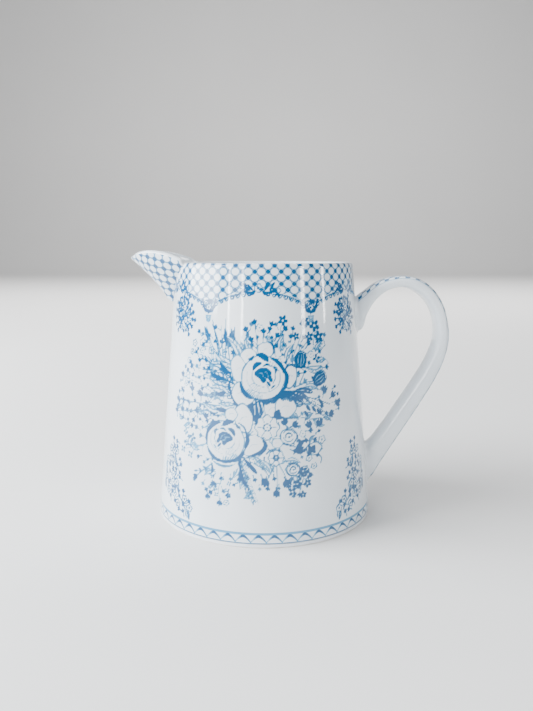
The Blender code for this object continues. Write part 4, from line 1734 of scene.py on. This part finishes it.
        # Petals behind the upper rose.
        upper = Spot(x + 0.4, 60.6, 8.0, 4)
        for offset, size, turn in (((-0.62, 0.98), (3.0, 2.6), 20), ((0.22, 1.2), (3.2, 2.6), 0),
            ((-1.1, 0.42), (2.9, 5.0), 14)):
            self.petal(Spot(*upper.at(*offset)), size, turn, 0.42)
        self.bow(Spot(*upper.at(0.22, 1.2), 3.2), 0.92, (70, -30), 0.7, 0.85)
        self.petal(Spot(*upper.at(1.26, -0.05)), (2.5, 4.2), -14, 0.6)
        cut(upper.many([(1.02, 0.3), (1.1, -0.1), (0.98, -0.6)]), 1.5, 0.95, Swell.CRESCENT)
        cut(upper.many([(1.0, 0.22), (1.24, 0.5), (1.5, 0.34)]), 0.4, 0.85)
        # The dark hollow between the two roses.
        self.plate.disc((x - 1.6, 50.6), (2.6, 5.6), -8, tone=0.88, ruffle=(5, 0.05))
        self.plate.disc((x - 5.4, 51.9), (4.8, 1.7), -4, tone=0.8)
        self.plate.disc((x + 6.3, 53.8), (5.2, 1.7), 16, tone=0.95)
        for lean in (-0.9, 0.3, 1.5):
            cut([(x - 1.9 + lean, 52.6), (x - 1.5 + lean * 1.25, 49.8), (x - 1.2 + lean * 1.4, 47.6)], 0.62,
                0.04)
        self.petal(Spot(*upper.at(-0.96, -0.66)), (4.4, 4.2), -24, 0.5)
        cut(upper.many([(-1.58, -0.5), (-1.3, -1.12), (-0.74, -1.26), (-0.3, -1.02)]), 0.8, 0.9,
            Swell.CRESCENT)
        cut(upper.many([(-1.5, 0.02), (-1.62, -0.3), (-1.48, -0.62)]), 0.75, 0.75, Swell.CRESCENT)
        self.rose(upper, 0.95)
        self.bow(upper, 1.06, (268, 336), 1.5, 0.95)
        # White petals under it.
        for place, size, turn in (((3.4, 49.6), (2.6, 3.3), 10), ((8.6, 50.2), (3.9, 3.6), -10)):
            petal = Spot(x + place[0], place[1], max(size), turn)
            self.petal(petal, size, turn, 0.5)
            self.hairs(petal, 0.92, (52, 128), 11, -0.26, 0.75)
        self.plate.leaf((x + 5.0, 46.4), (x + 6.2, 49.6), 2.6, 0.9)
        self.plate.leaf((x + 3.6, 46.9), (x + 8.2, 46.3), 1.3, 0.9)
        # The lower rose with its loose petals.
        lower = Spot(x - 13.4, 37.8, 7.3, -12, True)
        self.petal(Spot(x - 6.6, 46.2), (3.3, 5.2), 12, 0.55)
        self.petal(Spot(x - 11.2, 47.4), (2.3, 2.3), 0, 0.5)
        cut([(x - 8.4, 44.6), (x - 6.3, 43.0), (x - 5.2, 40.4)], 0.55, 0.8, Swell.CRESCENT)
        self.petal(Spot(x - 3.0, 36.6), (4.4, 3.9), 8, 0.45, 0.04)
        cut([(x + 0.2, 39.2), (x + 1.3, 36.8), (x - 0.4, 34.4), (x - 4.6, 32.8)], 1.5, 0.95, Swell.CRESCENT)
        self.petal(Spot(x - 19.6, 33.6), (3.0, 2.8), 30, 0.3)
        cut([(x - 21.8, 35.6), (x - 19.6, 35.8), (x - 17.6, 32.6), (x - 15.2, 30.6)], 0.9, 0.6,
            Swell.CRESCENT)
        self.petal(Spot(x - 13.2, 29.2), (4.8, 2.7), 0, 0.0)
        cut([(x - 18.6, 29.6), (x - 18.0, 27.4), (x - 18.4, 25.6)], 0.9, 0.7, Swell.CRESCENT)
        self.bow(Spot(x - 13.4, 36.8, 8.2), 0.98, (232, 300), 1.1, 0.5)
        self.rose(lower, 0.8)
        self.bow(Spot(x - 13.4, 37.8, 7.3), 1.04, (108, 196), 1.0, 0.8)
        self.bow(Spot(x - 13.4, 37.8, 7.3), 1.03, (232, 322), 0.9, 0.72)
        cut([(x - 5.6, 41.4), (x - 5.0, 38.4), (x - 6.0, 35.2)], 1.35, 0.85, Swell.CRESCENT)
        # Companions.
        self.rosette(x + 9.6, 39.8, 3.0)
        self.daisy(x + 1.9, 43.2, 4.1)
        self.lily(Spot(x + 18.6, 34.4, 5.0, 6))
        self.plate.leaf((x + 12.6, 33.6), (x + 16.2, 38.4), 1.9, 0.9, bend=0.15)
        self.bell(x + 13.2, 34.6, -62, 2.3)
        cut([(x + 7.2, 37.2), (x + 10, 36.6), (x + 13, 35.4)], 0.3, 0.7)
        self.petal(Spot(x + 5.4, 37.6), (1.9, 1.7), 0, 0.45)
        self.daisy(x + 5.0, 32.4, 2.7)
        self.rosette(x + 11.0, 28.0, 2.4)
        self.floret(x + 14.6, 27.0, 1.5, 0.9, 5)
        cut([(x + 1.6, 33.8), (x + 3.4, 35.4), (x + 6.8, 34.8)], 0.32, 0.7)

    def bouquet(self, x: float) -> None:
        """A whole bouquet.

        Args:
            x: its middle on the sheet.
        """
        self.foliage(x)
        self.hangings(x)
        self.blooms(x)

    def posy(self, x: float, z: float, size: float) -> None:
        """A dense upright sprig of florets and leaves.

        Args:
            x: its middle on the sheet.
            z: its middle height.
            size: half its height.
        """
        chance = random.Random(3)
        spot = Spot(x, z, size)
        for turn in range(-150, 151, 25):
            away = math.radians(turn)
            reach = 0.95 + 0.12 * math.cos(2 * away) + chance.uniform(-0.12, 0.12)
            end = (reach * 1.25 * math.sin(away), reach * math.cos(away))
            bend = (0.5 * end[0] + 0.12, 0.55 * end[1])
            self.plate.cut(spot.many([(0, -0.2), bend, end]), 0.42, 0.7)
            self.fan(*spot.at(*end), -turn, 1.25, 0.95)
            self.fan(*spot.at(0.72 * end[0] + 0.1, 0.68 * end[1] - 0.05), 25 - turn, 1.15, 0.9)
            self.plate.leaf(spot.at(0.2 * end[0], 0.25 * end[1]),
                spot.at(0.6 * end[0] - 0.12, 0.6 * end[1]), 1.1, 0.8, 0.1)
        for _ in range(15):
            around, out = chance.uniform(0, math.tau), chance.uniform(0.2, 1.0) ** 0.5
            place = spot.at(1.15 * out * math.sin(around), 0.95 * out * math.cos(around))
            self.fan(*place, -math.degrees(around) + chance.uniform(-50, 50), 1.15, chance.uniform(0.7, 1.0))
        for across, up, width in ((0.12, 0.42, 1.3), (-0.34, 0.02, 1.2), (0.3, -0.22, 1.35),
            (-0.12, -0.62, 1.1), (-0.5, 0.5, 0.95), (0.62, 0.2, 0.95)):
            self.plate.disc(spot.at(across, up), (width, 0.9 * width), rim=0.9, ruffle=(5, 0.12), width=0.42)
            self.plate.disc(spot.at(across, up), (0.4, 0.36), tone=0.9)

    def side_spray(self, x: float, flip: bool) -> None:
        """The tall spray that stands between two bouquets, above the base band.

        Args:
            x: its middle on the sheet.
            flip: whether it leans the other way.
        """
        spot = Spot(x, 20.5, 1.0, 0, flip)
        chance = random.Random(11)
        self.plate.cut(spot.many([(-8, -11), (-2, -4), (2, 3), (1.5, 12)]), 0.5, 0.75)
        self.plate.cut(spot.many([(-1, -5), (4, -4), (7.5, -1)]), 0.44, 0.65)
        for row in range(14):
            for column in range(9):
                across, up = -12 + 2.7 * column + chance.uniform(-0.7,
                    0.7), -14 + 2.3 * row + chance.uniform(-0.6, 0.6)
                turn, tone, kind = chance.uniform(-80, 80), chance.uniform(0.7, 1.0), chance.random()
                if not inside(SPRAY_OUTLINE, across, up):
                    continue
                place = spot.at(across, up)
                if kind < 0.6:
                    self.fan(*place, turn, 1.35, tone)
                elif kind < 0.84:
                    self.plate.disc(place, (1.35, 1.2), turn, rim=tone, ruffle=(5, 0.14), width=0.42)
                    self.plate.disc(place, (0.45, 0.4), tone=tone)
                else:
                    self.open_leaf(spot.at(across, up - 2), spot.at(across + 1, up + 2), 1.9, tone, 0.12)

    def swag(self, middle: float, half: float, wall: "WallPrint") -> None:
        """The scrolls and little flowers along one arch of the trellis's edge.

        Args:
            middle: the arch's middle, as an angle.
            half: half of the angle it spans.
            wall: the print whose edge it follows.
        """
        x = middle * Plate.per_radian
        for side in (-1, 1):
            edge = []
            for share in np.linspace(0.12, 1.0, 9):
                angle = middle + side * half * share
                edge.append((angle * Plate.per_radian, wall.edge_height(angle) / MM - 0.25))
            self.plate.cut(edge[2:], 0.46, 0.6, Swell.EVEN)
            for index, (across, up) in enumerate(smooth_line(edge, 2)):
                if index % 2:
                    curl = [(across - 0.9, up - 0.1), (across - 0.4, up - 1.1), (across + 0.5, up - 1.0),
                        (across + 0.7, up - 0.3)]
                    self.plate.cut(curl[:: 1 if index % 4 == 1 else -1], 0.55, 0.85)
                    self.plate.disc((across - 0.1, up - 0.35), (0.3, 0.3), tone=0.8)
            top = wall.edge_height(middle) / MM
            spot = Spot(x, top, 1.0, 0, side < 0)
            self.plate.cut(spot.many([(0.6, 0.2), (3.4, -0.6), (6.2, 0.1), (8.2, -1.4)]), 0.95, 0.9,
                Swell.CRESCENT)
            self.plate.cut(spot.many([(1.8, -0.1), (3.8, 1.6), (6.0, 2.9)]), 0.5, 0.85)
            self.plate.leaf(spot.at(2.4, 0.6), spot.at(4.4, 2.6), 1.2, 0.9, bend=0.12)
            self.plate.leaf(spot.at(4.0, 0.2), spot.at(6.6, 3.4), 0.9, 0.85)
            self.plate.leaf(spot.at(1.4, -0.2), spot.at(3.6, -1.4), 1.1, 0.9)
            self.plate.cut(spot.many([(6.0, 0.4), (7.6, 1.2), (8.6, 0.2), (7.8, -0.6)]), 0.4, 0.7)
            self.floret(*spot.at(5.2, 0.6), 0.9, 0.85, 5)
        self.plate.disc((x - 0.2, top_of(wall, middle) + 1.1), (1.5, 1.4), rim=0.65, ruffle=(5, 0.1))
        self.plate.disc((x - 0.2, top_of(wall, middle) + 1.1), (0.5, 0.45), tone=0.8)

    def pendant(self, angle: float, wall: "WallPrint") -> None:
        """The cluster and little basket that hang from a point of the trellis.

        Args:
            angle: where it hangs.
            wall: the print whose edge it hangs from.
        """
        spot = Spot(angle * Plate.per_radian, wall.edge_height(angle) / MM)
        for across, up, turn in (
            (-3.0, 3.2, 60), (3.0, 3.2, -60), (-2.4, 1.4, 80), (2.4, 1.4, -80), (-1.2, 0.0, 130),
                (1.2, 0.0, -130), (0, -0.4, 180), (0, 3.0, 0),
        ):
            self.fan(*spot.at(across, up), turn, 1.1, 0.95)
        for across, up, size in ((-1.5, 2.3, 1.05), (1.5, 2.3, 1.05), (0.0, 1.0, 1.2)):
            self.plate.disc(spot.at(across, up), (size, 0.9 * size), rim=0.9, ruffle=(5, 0.12), width=0.42)
            self.plate.disc(spot.at(across, up), (0.36, 0.34), tone=0.9)
        for side in (-1, 1):
            self.plate.cut(spot.many([(0, -0.4), (1.7 * side, -0.5), (2.4 * side, 0.7), (1.5 * side, 1.2)]),
                0.4, 0.8)
            self.plate.cut(spot.many([(1.1 * side, -1.9), (0.9 * side, -3.6), (0.3 * side, -4.3)]), 0.26, 0.5)
            self.plate.cut(spot.many([(0.45 * side, -1.9), (0.35 * side, -3.9)]), 0.22, 0.4)
        for up, half in ((-1.9, 1.2), (-2.8, 1.05), (-3.6, 0.9)):
            self.plate.cut(spot.many([(-half, up), (0, up - 0.25), (half, up)]), 0.26, 0.5, Swell.EVEN)

    def draw(self) -> None:
        """Cuts the whole sheet: two bouquets, four side sprays and posies, six swags and pendants."""
        half_sheet = math.pi * Plate.per_radian
        wall = WallPrint()
        for x in (-0.8, half_sheet - 0.8):
            self.bouquet(x)
        for x in (38.4, half_sheet - 38.4, half_sheet + 38.4, -38.4):
            self.posy(x, 80.8, 6.8)
            self.side_spray(x, x < 0)
        span = math.pi / wall.swags
        for arch in range(wall.swags):
            start = wall.pendant_angle + 2 * span * arch
            self.swag(start + span, span, wall)
            self.pendant(start, wall)


# The bouquet's outline on the sheet, in millimetres from its middle.
BOUQUET_OUTLINE = (
    (-5, 80), (6, 81), (22, 80), (26, 74), (27, 60), (32, 54), (33, 47), (26, 43), (24, 34), (21, 29),
        (18, 24), (15, 17.5),
    (10, 18), (5, 18), (0, 21), (-4, 16.5), (-8, 22), (-11, 14.5), (-19, 16), (-27, 22), (-24, 30),
        (-33, 33), (-31, 40),
    (-39, 43), (-40, 50), (-36, 61), (-32, 68), (-26, 77), (-15, 78), (-9, 74),
)


# A side spray's outline, in millimetres from its middle.
SPRAY_OUTLINE = ((-2, 14), (3, 14), (5, 8), (8, 2), (8, -5), (3, -9), (-3, -12), (-11, -14), (-12, -10),
    (-8, -5), (-5, 1), (-4, 7))


def inside(outline: Sequence[Point2], across: float, up: float) -> bool:
    """Whether a point lies inside a closed outline."""
    crossings = 0
    for (x1, z1), (x2, z2) in zip(outline, (*outline[1:], outline[0])):
        if (z1 > up) != (z2 > up):
            crossings += across < x1 + (x2 - x1) * (up - z1) / (z2 - z1)
    return crossings % 2 == 1


def top_of(wall: "WallPrint", angle: float) -> float:
    """The height of the trellis's edge in millimetres."""
    return wall.edge_height(angle) / MM


# ---------------------------------------------------------------- studio


@dataclass(frozen=True)
class Panel:
    """A soft light panel that faces the jug."""

    name: str
    azimuth: float
    elevation: float
    distance: float
    width: float
    height: float
    power: float
    colour: tuple[float, float, float] = (1.0, 1.0, 1.0)
    behind: float = 0.0

    def place(self, target: Vector) -> None:
        """Hangs the panel.

        Args:
            target: the point that it faces.
        """
        light = bpy.data.lights.new(self.name, "AREA")
        light.shape, light.size, light.size_y = "RECTANGLE", self.width, self.height
        light.energy, light.color = self.power, self.colour
        lamp = bpy.data.objects.new(self.name, light)
        around, up = math.radians(self.azimuth), math.radians(self.elevation)
        way = Vector((math.sin(around) * math.cos(up), -math.cos(around) * math.cos(up), math.sin(up)))
        lamp.location = target + Vector((0, self.behind, 0)) + way * self.distance
        lamp.rotation_euler = (-way).to_track_quat("-Z", "Y").to_euler()
        bpy.context.scene.collection.objects.link(lamp)


@dataclass(frozen=True)
class Studio:
    """The pale floor, the soft daylight and the camera."""

    target_height: float = 55 * MM
    camera_side: float = 0.84 * MM
    camera_back: float = 260 * MM
    camera_height: float = 103.2 * MM
    camera_pitch: float = 8.9
    lens: float = 32.91
    sky: tuple[float, float, float] = (0.80, 0.84, 0.88)
    sky_strength: float = 0.27

    def camera(self) -> None:
        """Sets the camera at the viewing angle."""
        data = bpy.data.cameras.new("view")
        data.lens, data.sensor_width = self.lens, 36.0
        data.clip_start, data.clip_end = 5 * MM, 20.0
        camera = bpy.data.objects.new("view", data)
        camera.location = (WALL.axis_x + self.camera_side, -self.camera_back, self.camera_height)
        camera.rotation_euler = (math.radians(90 - self.camera_pitch), 0, 0)
        bpy.context.scene.collection.objects.link(camera)
        bpy.context.scene.camera = camera

    def floor(self) -> None:
        """Lays a pale floor that sweeps up far behind the jug."""
        deselect()
        bpy.ops.mesh.primitive_plane_add(size=6.0)
        floor = name_piece(bpy.context.object, "floor")
        bpy.ops.object.mode_set(mode="EDIT")
        bpy.ops.mesh.select_all(action="DESELECT")
        bpy.ops.object.mode_set(mode="OBJECT")
        for edge in floor.data.edges:
            edge.select = all(floor.data.vertices[index].co.y > 2.9 for index in edge.vertices)
        bpy.ops.object.mode_set(mode="EDIT")
        bpy.ops.mesh.select_mode(type="EDGE")
        for step in range(10):
            lean = math.radians(9 * (step + 0.5))
            rise = {"value": (0, 0.12 * math.cos(lean), 0.12 * math.sin(lean))}
            bpy.ops.mesh.extrude_region_move(TRANSFORM_OT_translate=rise)
        bpy.ops.mesh.extrude_region_move(TRANSFORM_OT_translate={"value": (0, 0, 3.0)})
        bpy.ops.object.mode_set(mode="OBJECT")
        smooth(floor, 60)
        graph = Graph("studio_floor")
        place = graph.node("TexCoord").outputs["Object"]
        tone = graph.mix(graph.noise(place, 0.4), (0.76, 0.75, 0.74), (0.80, 0.79, 0.78))
        graph.feed(graph.shader.inputs["Base Color"], tone)
        graph.shader.inputs["Roughness"].default_value = 0.75
        floor.data.materials.append(graph.material)

    def lights(self) -> None:
        """Hangs the daylight panels, and fills the room with pale sky."""
        target = Vector((WALL.axis_x, 0, self.target_height))
        for panel in (
            Panel("window_left", -80, 26, 0.9, 0.8, 0.7, 36.0, (0.93, 0.97, 1.0)),
            Panel("pane_left", -34, 12.5, 1.1, 0.30, 0.36, 1.7, (0.93, 0.97, 1.0)),
            Panel("slit_left", -42.5, 12.5, 1.05, 0.035, 0.36, 2.0),
            Panel("slit_front", -26, 12.5, 1.05, 0.045, 0.36, 2.0),
            Panel("slit_right", 46.5, 12.5, 1.05, 0.08, 0.36, 2.6),
            Panel("slit_edge", 76, 12.5, 1.05, 0.05, 0.36, 1.6),
            Panel("ceiling", -50, 74, 1.2, 1.2, 1.2, 6.5, (0.95, 0.98, 1.0)),
            Panel("backdrop", 0, 45, 1.8, 2.0, 0.5, 72.0, behind=2.2),
        ):
            panel.place(target)
        world = bpy.data.worlds.new("daylight")
        world.use_nodes = True
        background = world.node_tree.nodes["Background"]
        background.inputs["Color"].default_value = (*self.sky, 1)
        background.inputs["Strength"].default_value = self.sky_strength
        bpy.context.scene.world = world

    def build(self) -> None:
        """Sets the whole studio."""
        self.camera()
        self.floor()
        self.lights()


def main() -> None:
    """Builds the jug piece by piece, then the studio round it."""
    logging.basicConfig(level=logging.INFO, format="%(name)s: %(message)s")
    Studio().build()
    plate = Plate()
    Engraver(plate).draw()
    LOG.info("plate: %.1f%% inked", 100 * float((plate.ink > 0.1).mean()))
    beak = Beak()
    Body().build(beak, plate)
    Foot().build()
    beak.build()
    strap = Strap()
    strap.build()
    strap.joint("upper_joint", "upper_handle_seam", True, 1.3 * MM)
    strap.joint("lower_joint", "lower_handle_seam", False, 1.8 * MM)


if __name__ == "__main__":
    main()
